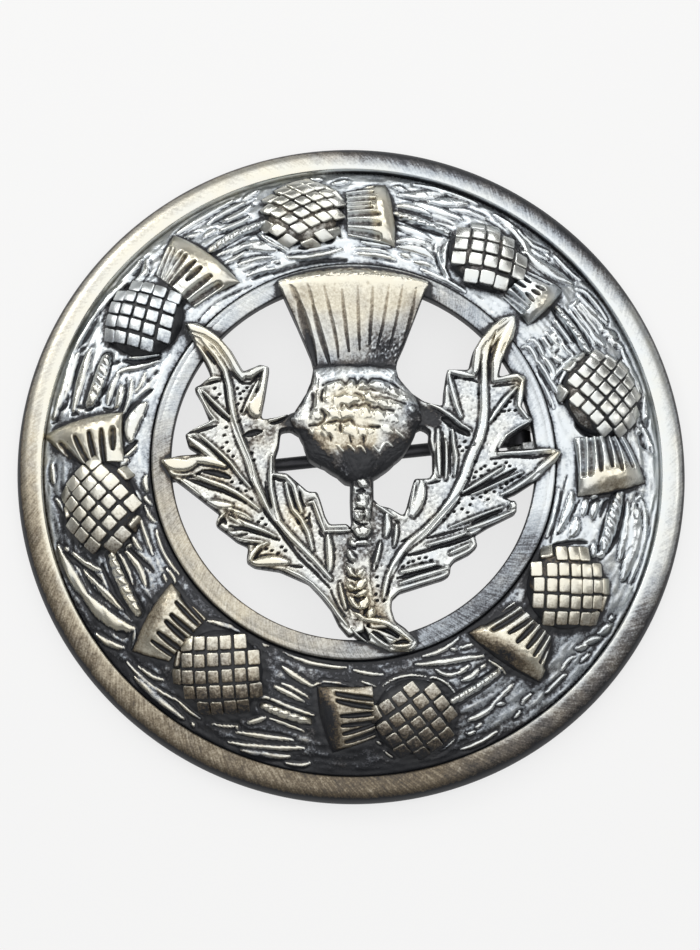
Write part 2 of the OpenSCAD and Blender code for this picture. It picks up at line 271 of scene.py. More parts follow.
class Relief:
    """Carving on a net of places x, y: ridges are the highest of their strokes, cuts the deepest."""

    def __init__(self, x, y):
        self.x = x
        self.y = y
        self.ridge = np.zeros(x.shape)
        self.moat = np.zeros(x.shape)
        self.cut = np.zeros(x.shape)

    def near(self, line, reach):
        low = line.min(0) - reach
        high = line.max(0) + reach
        inside = (self.x > low[0]) & (self.x < high[0]) & (self.y > low[1]) & (self.y < high[1])
        return np.nonzero(inside)

    def add_ridge(self, line, half, height, moat, pointed=0.7, ticks=0.0, round_top=0.5):
        """Raised stroke, thinner towards its ends, with a fine groove along both sides."""
        at = self.near(line, half + 0.5)
        if not len(at[0]):
            return
        gap, share, side, total = distance_to(line, self.x[at], self.y[at])
        taper = narrowed(share, pointed)
        width = half * taper
        body = np.clip(1 - (gap / width) ** 2, 0, 1) ** round_top
        rise = height * (END_HEIGHT + (1 - END_HEIGHT) * taper) * body
        if ticks:
            wave = (share * total + side * TICK_LEAN) / TICK_PITCH
            rise = rise * (1 - ticks * np.clip(np.abs(((wave % 1) - 0.5) * 2) * 1.6 - 0.7, 0, 1))
        self.ridge[at] = np.maximum(self.ridge[at], rise)
        beside = -moat * np.exp(-((gap - width - MOAT_AT) / MOAT_WIDTH) ** 2)
        self.moat[at] = np.minimum(self.moat[at], beside)

    def add_cut(self, line, half, depth, pointed=0.6):
        """Groove, thinner towards its ends."""
        at = self.near(line, half + 0.3)
        if not len(at[0]):
            return
        gap, share, _, _ = distance_to(line, self.x[at], self.y[at])
        width = half * narrowed(share, pointed) + 0.05
        self.cut[at] = np.minimum(self.cut[at], -depth * np.clip(1 - (gap / width) ** 2, 0, 1))

    def height(self, hem=0.0):
        """Height of the carving, over a raised hem where there is one."""
        moat = self.moat * np.clip(1 - self.ridge / MOAT_FILLED, 0, 1)
        return np.maximum(self.ridge, hem) + moat + self.cut


# Where raised lines are, for the finish: x, y and how much each place is rubbed
RUBBED = []
RUBBED_HEIGHT = 0.2


def note_rubbed(x, y, relief):
    RUBBED.append((x.ravel(), y.ravel(), ramp(relief.ridge, 0, RUBBED_HEIGHT).ravel()))


def blurred(field, rows, columns, wrap=False):
    """Gaussian blur of a net, by rows and columns of cells; wrap joins the first row to the last."""
    pad_rows = 0 if wrap else int(4 * rows) + 1
    pad_columns = int(4 * columns) + 1
    wide = np.pad(field, ((pad_rows, pad_rows), (pad_columns, pad_columns)), mode="edge")
    f_rows = np.fft.fftfreq(wide.shape[0])[:, None]
    f_columns = np.fft.rfftfreq(wide.shape[1])[None, :]
    soft = np.exp(-2 * (math.pi ** 2) * ((f_rows * rows) ** 2 + (f_columns * columns) ** 2))
    out = np.fft.irfft2(np.fft.rfft2(wide) * soft, s=wide.shape)
    return out[pad_rows:pad_rows + field.shape[0], pad_columns:pad_columns + field.shape[1]]


def grain(shape, rows, columns, seed, wrap=False):
    """Even noise of about -1 to 1, with lumps of the given size in cells."""
    field = blurred(np.random.default_rng(seed).standard_normal(shape), rows, columns, wrap)
    return field / (field.std() * 2)


# Carving of the band between rim and lip, read off the photograph. Angles run anticlockwise from +X.
# In all charts the two numbers that give a place stand close together.
RIDGES = [
    # from angle, radius; through angle, radius; to angle, radius; half width
    (80.5,32.4, 76.5,32.9, 72,34.1, .5), (74.3,32.3, 70.5,33.1, 67,33.9, .5),
    (81.8,33.5, 80.5,33.4, 79.3,33.2, .3), (69.5,32.3, 66,32.9, 62,33.2, .3),
    (78,34.3, 72,34.5, 65,34.5, .22), (77,31.7, 72,31.6, 66.5,31.5, .45),
    (80.5,30.8, 77,31.1, 73,30.6, .35), (79.8,28, 75,27.7, 71,27.4, .4), (79.3,26, 76,26.6, 71,26.8, .4),
    (78.5,25.4, 73,25.7, 68.5,25.2, .4), (67.2,28.2, 66.8,26.5, 65.2,24.9, .3),
    (66,25, 64.5,24.2, 62.5,23.8, .3), (68.5,26.8, 67.5,25.5, 65,24.2, .2),
    (77.5,24.6, 76,24.6, 74.5,24.5, .25), (73.5,24.1, 71,24.3, 68,24.4, .25),
    (71,23.6, 66,23.4, 57,23.4, .25), (90,24, 84,24, 78.5,23.8, .22), (90,24.7, 84,24.6, 80.5,24.5, .2),
    (88,25.5, 84,25.3, 80.5,25.3, .22), (61,34.2, 56,33.6, 50.5,32.2, .45),
    (52,31.9, 46,32.2, 40.5,33.2, .6), (55.5,34.2, 52.5,33.5, 48.3,34.2, .2),
    (52,32.9, 50,33, 47.5,33.8, .2), (50.5,32.7, 49,32.9, 47.3,33.4, .18), (47,34.3, 43,34.1, 40,34.5, .22),
    (39,33.2, 36.5,34, 30.5,34.1, .25), (38,32.9, 34,33.2, 30,33.8, .25), (36,32.4, 33,32.7, 29,33.2, .3),
    (36,31.3, 33,31.4, 27,31.6, .2), (36,30.7, 33,30.7, 27,31, .2), (36,28.4, 32,28.4, 29,28.5, .25),
    (34.8,27.5, 33,27.6, 30,27.6, .2), (33.5,27.1, 32.5,27.1, 31.5,27.1, .28),
    (34.5,26.6, 32,26.7, 30,27, .2), (34,25.9, 32,25.9, 30,26, .2), (35,24.2, 33.5,24.9, 29,24.6, .22),
    (34.5,23.2, 32.5,23.9, 28,23.6, .25), (37.5,32.9, 36.8,32, 36.5,31, .15),
    (29.5,32.6, 28.3,33.5, 27.3,34.2, .2), (28.2,32.7, 27.4,33.4, 26.6,34.2, .2),
    (26.8,33, 25.5,33.6, 24.2,34.2, .35), (30,31.4, 28,31.6, 25.5,32, .35),
    (30,27.4, 28,27.6, 26.3,27.9, .25), (28.5,26, 27.3,26.2, 26.2,26.6, .2),
    (28,25.7, 27,25.9, 25.8,26.3, .2), (26,28.2, 25.2,26.5, 23,24.6, .25),
    (24.5,27.8, 23.6,26.4, 21,25, .25), (24.3,28.6, 24,28.2, 23.8,27.8, .35),
    (29,24.6, 25,24.9, 22,24.1, .3), (30,23.9, 25,24, 16,24.5, .25), (26,23, 20,23.2, 15,23.4, .2),
    (24,33.9, 20,33.9, 15,34.3, .3), (22,33.3, 18,33.8, 13,33.9, .2), (14,34.6, 11,34.1, 8.5,33.8, .4),
    (8.5,33.3, 6,33.8, 3,34.4, .25), (5.5,33.6, 4.5,33.7, 3.3,33.9, .15),
    (7.6,32.6, 7.2,32.8, 6.9,33.1, .3), (-6,34.9, -15,34.8, -24,34.8, .28),
    (-7,32.9, -12,33.9, -23,33.8, .3), (-8,32.1, -14,32.8, -23,33, .7),
    (-9,31.8, -11.5,32.5, -14,33.2, .15), (-8,31.3, -15,31.6, -20,31.8, .4),
    (-5.8,33, -6.4,32.6, -7,32.2, .2), (-19,28.5, -20.5,28.7, -22,28.9, .3),
    (-9.5,27.7, -11.5,27.4, -13.5,27.6, .4), (-8,27.7, -8.4,27.3, -8.7,26.9, .25),
    (-9.5,26.4, -12,26.4, -13.7,26.3, .3), (-14.5,25.7, -17.5,25.9, -19.5,25.6, .45),
    (-8.5,24.7, -14,24.6, -19.5,24.3, .4), (-8,23.2, -15,23.1, -22,23.2, .25),
    (-21.7,27.5, -23.2,25.8, -25.2,24.4, .2), (-23,26.5, -24.5,25.2, -26.7,24.3, .2),
    (-20,29.9, -20.7,29.6, -21.2,29.2, .3), (-30.5,34.1, -30.8,33.9, -31.1,33.6, .2),
    (-32,34.2, -33.5,33.9, -34.7,33.5, .4), (-35.2,34, -36.5,33.4, -38,32.8, .3),
    (-38,33.3, -39,32.9, -40,32.5, .28), (-39,34, -40,33.9, -41.2,33.8, .15),
    (-45,33.5, -47.5,33.5, -50.3,33.6, .2), (-41.3,32.9, -43,32.7, -45,32.9, .15),
    (-52.7,32.6, -54.2,32.7, -55.2,32.9, .15), (-56.2,33.4, -57,33.6, -58,33.8, .12),
    (-54.7,30.6, -57.5,30.9, -61,31.3, .18), (-58.3,31.8, -59,31.6, -59.7,31.5, .18),
    (-60,31.3, -62.5,31.6, -66.2,31.6, .25), (-64,32.5, -64.8,32.6, -65.5,32.7, .12),
    (-66,32.9, -66.8,33, -67.5,32.8, .12), (-62,34, -66,34.3, -69.5,34.2, .2),
    (-70,32.9, -72,33.4, -75,33.9, .12), (-54.8,29.2, -55.2,28.3, -56.4,27, .15),
    (-67.7,29.4, -68.8,29.5, -69.8,29.2, .3), (-59.5,27.2, -62,27.5, -64.2,27.4, .26),
    (-57.5,27.2, -58.5,27.2, -59.2,27.3, .15), (-61,26.3, -63,26.5, -64.5,26.6, .18),
    (-64,26.5, -67,26.2, -69,25.2, .2), (-57,26.3, -62.5,25.3, -73.5,24, .28),
    (-57.5,24.6, -59.5,24.4, -61,24.2, .15), (-62,24.1, -62.8,24, -63.5,23.8, .15),
    (-60,23.1, -65,23.5, -71,23.4, .2), (-66.7,28.5, -68.5,26.6, -71.5,25.8, .12),
    (-71.5,25.7, -77.5,24.9, -83,25.6, .12), (-68.5,28.4, -69.5,28.2, -70.7,27.4, .15),
    (-70.3,26.9, -71.2,26.4, -72.2,25.9, .15), (-78,25.9, -80,26, -82.5,26.2, .35),
    (-82,26.3, -83.5,27.4, -85.5,28.5, .15), (-82.5,24.3, -85,24.2, -90,23.7, .18),
    (-84.5,25.6, -86,25.3, -88.2,24.9, .15), (-82,33.4, -83,33, -84,32.4, .12),
    (-84,31.9, -84.7,31.6, -85.5,31.3, .15), (-98,33.8, -99.5,34.3, -102.7,34.4, .22),
    (-99.5,32.4, -107,33.4, -113.8,34.2, .25), (-102,31.8, -107,32.2, -113.2,32.9, .22),
    (-102,33.6, -106,34.1, -111,34.5, .4), (-100,30.7, -104,30.4, -107.8,30.2, .15),
    (-108.5,30.3, -110,30.9, -111.7,31.5, .25), (-98.5,28.9, -105,28.5, -109,28.3, .2),
    (-109,28.3, -111,28.5, -113,29.1, .2), (-101.5,27.6, -105,27.2, -109,26.9, .25),
    (-100.5,27.1, -104,26.6, -107.5,26.3, .18), (-100,25.8, -104,25.3, -108.7,24.6, .28),
    (-98,25.4, -99,25.5, -100,25.8, .15), (-92,23.4, -100,23.4, -110,23, .22),
    (-113.2,32.6, -113.4,32.3, -113.6,32.1, .15), (-113.7,32.3, -115.5,32.8, -118,33.2, .12),
    (-90,25.6, -94,25.2, -98.5,25.2, .15), (-115,24.3, -116.5,24, -118,23.8, .25),
    (-113.5,22.9, -115,23.1, -116,23, .15), (-120,33.3, -123,33.3, -125.8,33, .18),
    (-125.8,33, -131,33.6, -138,33.7, .18), (-130.5,32.2, -132.5,32.8, -136,33.1, .18),
    (-123,34.3, -129,34.3, -135,34.2, .45), (-120.7,34.5, -121,34.3, -121.4,34.1, .2),
    (-120.5,23.2, -126,23.4, -131.5,24.4, .3), (-140.5,32.9, -142.5,33.8, -146,34.6, .3),
    (-139.3,32.4, -140.2,31.5, -142,30.7, .2), (-142,30.8, -146.5,32.4, -154,33.6, .6),
    (-152,33.3, -157,33.9, -164,34.4, .5), (-146.5,30.5, -150.5,31.2, -154.5,31.8, .3),
    (-141.5,29, -142.7,28.2, -144,28, .15), (-148,27.1, -153,26.8, -157.6,27.4, .28),
    (-146,24.9, -147,24.9, -148,24.8, .15), (-144,24.4, -146,24.1, -149,24.2, .15),
    (-145.5,23.3, -152,23.6, -159.5,23.4, .18), (-153.5,31.7, -156,32.1, -158,32.5, .22),
    (-156,30.6, -158.5,31.9, -161.7,33, .25), (-162.5,33.4, -163,33.6, -163.4,33.8, .15),
    (-162,31.7, -162.5,31.9, -163,32, .18), (-150,28.2, -155,28, -158.5,28.3, .15),
    (-158,29.2, -158.7,28.5, -158.5,27.8, .25), (-156,25.7, -158,26, -160.5,26.2, .22),
    (-158.2,27.2, -158.4,26.8, -158.5,26.5, .2), (-154,24.8, -159,24.7, -164,24.7, .2),
    (-161.5,23, -163,23.5, -167,23.9, .2), (-168,24.1, -170,24.4, -171.5,24.6, .2),
    (-166.5,23, -168,23.5, -169.5,23.6, .2), (-170.5,23.3, -173,23.4, -175,23.2, .3),
    (-176,33.8, -178,33.9, -180,34, .3), (-170,33, -171.5,33.2, -173,33.7, .18),
    (182,26, 181,25.7, 180,25.2, .35), (180,25.8, 178.5,24.9, 176.5,24.3, .2),
    (175.5,25, 171,25.2, 165,24.2, .7), (171.5,34.3, 165,34.2, 158,34.5, .45),
    (158,34.5, 154,34.6, 150,34.4, .4), (167,33.6, 162,33.8, 157,34, .35),
    (169.3,32.2, 163,32.4, 156,32.7, .4), (167.5,27.4, 165.5,27.2, 162,27.5, .4),
    (167,28.4, 163,28.5, 160,28.3, .3), (168.5,26.3, 164,26.2, 160,26.6, .25),
    (160,28.6, 157.5,27.4, 155.5,25.5, .25), (158.5,28.4, 156.5,26.5, 153,24.7, .3),
    (155.3,28, 153.8,26.4, 151.3,25, .18), (163,25.8, 160.5,25.4, 157,25.5, .2),
    (150,34.4, 144,34.1, 139,33.4, .4), (142,34.3, 138.5,34.1, 135.5,34.4, .35),
    (141,33, 137.5,32.7, 134.5,33.9, .35), (127,34, 121,34.1, 114,34.3, .38),
    (126,32.9, 124.5,32.5, 123,32.3, .2), (120.5,33, 117,33.3, 112,33.4, .3),
    (118,32.2, 114,32.3, 111,32.7, .32), (123,31.6, 121.5,31.7, 120,31.7, .3),
    (119.5,31.3, 116,31.1, 112.5,31.3, .28), (123,28.6, 119,28.3, 115,28.3, .22),
    (123,27.2, 120,27.1, 117,27.3, .22), (120,27.9, 117,27.9, 114.5,27.8, .2),
    (117,28, 114,27.4, 110,26, .55), (120,26.2, 115,25.8, 111,25.2, .25),
    (118,24.6, 114,24.6, 110,24.7, .2), (120,24.4, 117,24.3, 112,23.9, .22),
    (112,28.8, 110.8,27.3, 107.7,25.6, .2), (111.2,28.3, 109,26.9, 107,25.7, .15),
    (110,29.2, 108,28.3, 106.6,26.2, .3), (108,24.7, 101,24.2, 93,24.6, .35),
    (112,33.9, 110,34.3, 108.5,34.6, .3), (98.5,34.6, 97,34.3, 96,34.4, .32),
    (94,33.5, 92.5,33.6, 91,33.9, .3),
]
STEMS = [
    # columns as above
    (81.5,29.6, 76,29.4, 68,29.1, .5), (38,29.5, 31,29.6, 24,29.8, .45),
    (-6.5,30.2, -13,29.8, -19,29.7, .75), (-56,28.6, -62,28.8, -69.7,29.2, .42),
    (-99.5,29.6, -105,29.4, -110,29.2, .5), (-144,29.4, -151,29.2, -158,29, .6),
    (167.5,30.5, 163,30.2, 157,30.4, .75), (124.5,29.5, 118,29.8, 110,29.8, .52),
]
CUTS = [
    # columns as above
    (79.8,29, 74,28.5, 69,28.4, .22), (70,27.2, 68.5,25.5, 64,23.8, .15), (80,32.1, 74,32.1, 67,32.1, .12),
    (75,33.3, 73,33.6, 70,34.3, .12), (80,30.4, 74,30.3, 68,30.4, .3), (56,33.9, 53,33.5, 50,33.9, .1),
    (50.3,33.1, 49,33.4, 48,33.6, .12), (45.5,33.5, 43,33.6, 40.5,33.8, .12),
    (62,33, 55,32.4, 50,31.3, .25), (36,31.7, 33,31.7, 29,32, .12), (35.5,31, 34,31, 33,31, .12),
    (37,30.2, 33,30.2, 26,30.6, .18), (38,28.9, 34,28.85, 29,29, .25), (36,27.9, 32,27.8, 26,28.2, .12),
    (33.5,26.3, 32.5,26.3, 31,26.3, .15), (34,25.4, 31,25.3, 26,25.5, .12),
    (37,33.4, 35.5,33.6, 33.5,33.6, .15), (28.5,23.6, 25,23.4, 20,23.6, .12),
    (22.5,22.9, 19,22.9, 15.5,23.1, .12), (9.2,34.2, 8.6,33.9, 8,33.5, .3),
    (25,33.6, 24.8,33.4, 24.5,33.2, .2), (6.5,33.1, 5,33, 3.8,33.4, .3),
    (29.2,26.8, 29,26.5, 28.8,26.2, .2), (12,26.5, 9,26, 6,27.5, .6), (-8,33.4, -14,34.4, -23.5,34.2, .12),
    (-6.5,30.7, -13,31, -19.5,30.4, .15), (-9,28, -9.5,27.2, -13,26.9, .12),
    (-10,25.7, -15,25, -20.5,24.2, .15), (-4,24, -14,23.5, -23,23.8, .15),
    (-19.5,27.7, -20.5,26.3, -23.5,24.2, .25), (-8.5,29, -10,28.6, -12.5,28.4, .3),
    (-8,32.5, -9,32.3, -10.5,32.4, .3), (-17,32.6, -18.5,32.4, -19.5,32.3, .15),
    (-150.5,31.9, -154,32.5, -158,32.7, .2), (-154,31.2, -157,32, -162.5,33.9, .3),
    (-150,25.6, -154,26.2, -158,27, .25), (-144,30.3, -150,30.4, -157,30.4, .3),
    (-142,31.9, -142.7,32.2, -143.5,32.6, .4), (171,34.8, 165,34.5, 160,34.9, .1),
    (172,34.5, 171.8,34.2, 171.5,33.8, .15), (169.5,33.9, 168.5,33.3, 166.5,33.2, .2),
    (169,32.7, 165,32.9, 158,33.3, .12), (170.3,32.3, 170,31.9, 170.1,31.6, .2),
    (168.5,31.7, 168.3,31.2, 168.2,30.9, .25), (168,31.3, 164,31.3, 161,31.4, .22),
    (169,30.8, 168.6,30.3, 168.3,30, .2), (167.8,29.6, 167.4,29.5, 167,29.4, .2),
    (165.5,29.3, 164.3,29.3, 163.3,29, .15), (168,28.8, 168.5,28.1, 168,27.6, .2),
    (170,28, 167,26.7, 160,27.3, .12), (170.3,26.1, 166,25.4, 161,24.1, .35),
    (159.2,24.8, 157.5,24.6, 155.5,24.3, .2), (156.2,28.4, 155,26.5, 152,24.8, .35),
    (153.8,27.8, 152.3,26.3, 151,25.2, .3), (158,29.6, 157.3,29.2, 156.8,28.8, .2),
    (157.5,34, 156.8,33.7, 156.2,33.4, .2), (156,34, 153.5,33.7, 150,33.9, .12),
    (179,26, 177.3,25.2, 175.5,24.4, .3), (126.5,33.4, 122,33.1, 119,33.3, .12),
    (119,33.3, 117,33.7, 113,33.9, .1), (120,32.6, 114,32.8, 109.8,33.4, .12),
    (118.5,32.4, 116.5,31.7, 112.5,31.7, .12), (120,30.9, 116,30.6, 110,30.6, .25),
    (119.5,28.5, 115,28.8, 111.5,29.1, .15), (120,27.6, 117,27.5, 115,27.5, .1),
    (120,26.5, 117,26.6, 112,25.6, .12), (120,25.2, 114,24.8, 110,24.3, .12),
    (119,23.8, 116,23.8, 113.5,23.6, .15), (112.8,29, 111.5,27.2, 108,25.4, .12),
    (110.7,28.8, 109.3,28, 107.5,26.2, .25), (108,25.2, 101,24.6, 95,25, .15),
    (113,23.4, 104,23.5, 92,23.2, .35), (138,23.7, 132,23.9, 120,23.2, .12),
    (140.3,33.6, 138,33.4, 135.5,34.1, .12), (134.3,34, 135.3,33.2, 136.2,32.5, .12),
    (150,33.1, 144,33.4, 137,32.2, .15), (106.5,27.3, 105.5,26.5, 103,26.8, .35),
    (104,25.5, 102.5,25.4, 101.5,25.4, .3), (101.3,25.8, 100,25.6, 98.5,25.8, .35),
    (97.8,26.7, 96.5,25.9, 95,26.3, .4), (94.8,27.5, 94,26.8, 93.3,26.2, .25),
]
# Ring thistles, clockwise from the top
BULBS = [
    # angle, radius, from x, to x, from y, to y, then pitch, pitch along, turn, place of one stud x, y,
    # lean, worn place x, y
    (100.5, 30, -4.9, 4.2, -4.4, 4, 1.5, 1.4, 17, -1.7, -0.5, -0.42, 0.7, 1.6),
    (57.5, 28.7, -4.6, 4.6, -4.4, 3.3, 1.75, 1.7, 22, 0.2, -0.25, 0, 9, 9),
    (15.5, 29.5, -5, 4.7, -4.9, 4, 1.5, 1.5, 32, -1, 0.5, 0, 9, 9),
    (-32, 28.2, -4.8, 4.3, -5, 4, 1.75, 1.35, 32, 0, 1.7, 0, -0.9, -0.3),
    (-77.5, 29.7, -4.6, 4.2, -4.5, 4, 1.6, 1.6, 25, -0.4, -0.1, 0, 9, 9),
    (-122, 27.9, -5, 4.6, -4.4, 4.6, 1.42, 1.75, 35, 0, 0.5, 0, 9, 9),
    (-168.5, 29, -4.6, 5.5, -4.5, 3.7, 1.6, 1.6, 33, -0.7, -0.7, 0, 2.6, -2),
    (146, 28.5, -4.4, 4.8, -4.2, 4.6, 1.6, 1.6, 22, 0.2, 0.3, 0.15, 9, 9),
]
CROWNS = [
    # start angle, inner r, outer r, end outer angle, r, end inner angle, r, grooves
    (91.5, 26, 32.3, 84.5, 33.4, 80.7, 25.3, [
        (90,32.4, 86,32.7, .12), (90,31.6, 86,31.8, .12), (90,30.7, 85.5,30.8, .12),
        (90,30.1, 86.5,30.1, .1), (90,29.5, 86,29.6, .12), (90,28.7, 84,28.8, .2),
        (90,27.7, 83.2,27.5, .25), (90,26.6, 81.5,25.9, .25)]),
    (48.3, 25.5, 30.4, 41.3, 31.5, 39.5, 25.3, [
        (48,30.3, 42,31.4, .12), (47.5,29.8, 42.5,30.6, .15), (44,29.1, 42.3,29.4, .12),
        (48,28.8, 46,28.9, .12), (44,28.3, 42.3,28.5, .12), (48,27.9, 46,28, .12),
        (44.5,27.5, 42,27.4, .12), (47,27, 42,26.8, .15), (46,26.2, 41.2,26.4, .2),
        (46,25.8, 40.5,25.8, .12)]),
    (5.8, 24.8, 31, -2.2, 33, -7.5, 25.3, [
        (5,30.2, -1.5,31.7, .2), (5,29.4, -1.8,30.2, .2), (5,28.6, -1.2,29, .2),
        (3,27.6, -2.5,27.7, .2), (4,26.7, -5,26.5, .25), (4,25.8, -5.5,25.8, .2)]),
    (-42.2, 23.8, 30.2, -49, 32.1, -55.7, 23.2, [
        (-42.5,30, -48.4,31.6, .15), (-42.3,29.8, -47.7,30.6, .15), (-42.5,29, -47.8,29.6, .15),
        (-42.2,28.15, -47.8,28.5, .22), (-42.2,27.2, -48.8,27.3, .22), (-43,26.5, -49,26, .15),
        (-42.7,25.3, -53.2,24.5, .22), (-43.2,24.3, -55,23.2, .22)]),
    (-85.5, 25.4, 31, -93, 32.4, -97.5, 25.6, [
        (-86,30.5, -92.5,31.6, .15), (-86.5,29.7, -92.4,30.7, .15), (-86,29.4, -92.5,29.8, .15),
        (-86,28.5, -92.7,28.8, .15), (-86,27.8, -94,27.2, .2), (-86,26.9, -96,26.3, .2)]),
    (-132, 24.2, 30.5, -138, 32.3, -143.5, 24.5, [
        (-131.5,29.6, -137.2,30.2, .15), (-132,28.7, -137.4,29.1, .22), (-132,27.5, -138,27.7, .22),
        (-132.2,26.5, -138.3,26.8, .22), (-132.7,25.4, -140,25.5, .15), (-133,24.8, -141,24.6, .15)]),
    (-179, 25.5, 31, -184.5, 34.8, -190, 26.3, [
        (-180,31.2, -184,33.3, .25), (-180.5,30.1, -184.8,31.4, .2), (-181,29.1, -185.6,29.8, .2),
        (-181,28, -186.2,28.4, .2), (-182,26.9, -187.5,27.2, .25)]),
    (136, 25, 31.5, 128.5, 33.8, 124, 24.3, [
        (135.5,31, 129,33, .12), (135,30.5, 129,32.3, .12), (135.7,30.2, 128.7,31.2, .15),
        (133.5,29.9, 128.7,30.5, .22), (133.5,29, 128.5,29.1, .22), (132.5,28, 128.5,28, .22),
        (135.8,26.8, 128,26.5, .28), (136,25.7, 126,25.1, .28)]),
]

# Band: its net, how thick it is under its edges, and the radius where its angles count as lengths
BAND_ANGLES = 1200
BAND_ROWS = 79
BAND_INNER = 22.75
BAND_OUTER = 34.95
BAND_DEPTH = 1.0
MIDDLE_R = 29.0
ARC = math.pi / 180
# How rough its ground is, and how far in from the inner and the outer edge its carving fades
BAND_ROUGH = 0.07
BAND_FADE = (0.5, 0.4)


def carve_band(x_angle, r):
    """Relief of the band on a net of angles and radii, which is stretched to arc length."""
    relief = Relief(x_angle * ARC * MIDDLE_R, r)

    def placed(table):
        for row in table:
            for turn in (-360, 0, 360):
                line = stroke_line(row)
                line[:, 0] = (line[:, 0] + turn) * ARC * MIDDLE_R
                if line[:, 0].max() > relief.x.min() and line[:, 0].min() < relief.x.max():
                    yield line, row[6]

    for line, half in placed(RIDGES):
        relief.add_ridge(line, grown_by(RIDGE_HALF, half), grown_by(RIDGE_RISE, half), RIDGE_MOAT)
    for line, half in placed(STEMS):
        relief.add_ridge(line, half, **STEM_STROKE)
    for line, half in placed(CUTS):
        relief.add_cut(line, grown_by(CUT_HALF, half), grown_by(CUT_DEPTH, half))
    note_rubbed(*polar(x_angle, r), relief)
    return relief.height()


def make_band():
    a = np.arange(BAND_ANGLES) * 360.0 / BAND_ANGLES
    a = np.where(a > 180, a - 360, a)
    angle, radius = net_of(a, np.linspace(BAND_INNER, BAND_OUTER, BAND_ROWS))
    carving = carve_band(angle, radius)
    coarse = grain(angle.shape, 4.5, 1.0, SEED["carved_band"], True)
    fine = grain(angle.shape, 1.4, 1.2, SEED["carved_band"] + 1, True)
    fade = ramp(radius, BAND_INNER, BAND_FADE[0]) * ramp(radius, BAND_OUTER, -BAND_FADE[1])
    top = ground(radius) + (carving + BAND_ROUGH * (coarse + 0.5 * fine)) * fade
    x, y = polar(angle, radius)
    section = with_underside(np.stack([x, y, top], 2), ground(radius[:, [-1, 0]]) - BAND_DEPTH)
    return Shape(section, [grid_faces(BAND_ANGLES, section.shape[1], True, True)])


RING_STEPS = 720


def arc_points(cx, cz, radius, start, end, count):
    t = np.radians(np.linspace(start, end, count))
    return [(cx + radius * math.cos(a), cz + radius * math.sin(a)) for a in t]


def make_ring():
    """Rim, lip and hollow back in one turned piece; its top under the carved band is hidden."""
    bead_x = RING_R - BEAD_R
    bead_z = RIM_H - BEAD_R
    foot = math.degrees(math.asin(bead_z / BEAD_R))
    # Radius and height of places round the section, from the rim's underside over the top to the back
    profile = [(GROOVE_R + 0.2, 0.0), (36.0, 0.0), (36.9, 0.0)]
    profile += arc_points(bead_x, bead_z, BEAD_R, -foot, 90, 20)
    profile += [(35.8, 2.61), (35.45, 2.58)]
    profile += arc_points(35.3, 2.38, 0.2, 80, 180, 5)
    profile += [(35.06, 1.9), (35.0, 1.3)]
    profile += [(r, ground(r) - 0.65) for r in (34.6, 33.5, 31.0, 28.0, 25.0, 23.2, 22.8)]
    profile += [(22.62, 5.0), (22.58, 5.5)]
    profile += arc_points(22.28, 5.68, 0.3, 0, 80, 5)
    profile += [(22.1, 6.0), (22.0, 5.93), (21.9, 5.93), (21.8, 6.0), (21.2, 6.02), (20.9, 6.0)]
    profile += arc_points(20.7, 5.7, 0.3, 90, 180, 6)
    profile += [(OPENING_R, 5.0), (OPENING_R, 4.5), (20.6, 4.3), (21.6, 4.15), (LIP_R, 4.0)]
    profile += [(25.9, 3.3), (29.0, 2.5), (31.6, 1.65), (34.2, 0.7)]
    return revolved(profile, RING_STEPS)


# Bulbs of the ring thistles: height, depth in the band, points across, and curve of the dome
BULB_H = 2.15
SINK = 0.5
DOME_NET = 64
DOME_FALL = 1.3
DOME_ROUND = 0.55
DOME_DROP = 0.35
DISC_INSIDE = 0.999


def to_band(points, angle, radius):
    """Points of a piece that stands on the band: its X is clockwise, Y outwards, Z off the surface."""
    a = math.radians(angle)
    outward = np.array([math.cos(a), math.sin(a), 0])
    clockwise = np.array([math.sin(a), -math.cos(a), 0])
    step = 0.01
    fall = (ground(radius - step) - ground(radius + step)) / (2 * step)
    down = outward - np.array([0, 0, fall])
    down /= np.linalg.norm(down)
    off = np.cross(clockwise, down)
    origin = outward * radius + np.array([0, 0, float(ground(radius))])
    return origin + points[:, :1] * clockwise + points[:, 1:2] * down + points[:, 2:] * off


def disc_net(count):
    """A square net bent into a disc of radius 1."""
    s = np.linspace(-1, 1, count)
    u, v = net_of(s, s)
    return u * np.sqrt(1 - v * v / 2), v * np.sqrt(1 - u * u / 2)


def disc_solid(x, y, z, low):
    """Closed solid of a square net of points, with a flat underside at the height low."""
    count = len(x)
    number = np.arange(count * count).reshape(count, count)
    rim = np.concatenate([number[:-1, 0], number[-1, :-1], number[:0:-1, -1], number[0, :0:-1]])
    top = np.stack([x, y, z], 2).reshape(-1, 3)
    under = top[rim].copy()
    under[:, 2] = low
    start = len(top)
    k = np.arange(len(rim))
    wall = np.stack([rim, rim[(k + 1) % len(rim)], start + (k + 1) % len(rim), start + k], 1)
    return Shape(np.concatenate([top, under]), [grid_faces(count, count), wall, (start + k)[None, :]])


def make_bulb_dome(row, seed):
    angle, radius, x0, x1, y0, y1 = row[:6]
    p, q = disc_net(DOME_NET)
    x = (x0 + x1) / 2 + p * (x1 - x0) / 2
    y = (y0 + y1) / 2 + q * (y1 - y0) / 2
    rho = np.clip(p * p + q * q, 0, 1)
    z = BULB_H * (1 - rho ** DOME_FALL) ** DOME_ROUND - DOME_DROP
    z = np.where(rho > DISC_INSIDE, -SINK, z) + 0.05 * grain(x.shape, 1.5, 1.5, seed)
    shape = disc_solid(x, y, z, -SINK - 0.3)
    shape.points = to_band(shape.points, angle, radius)
    return shape


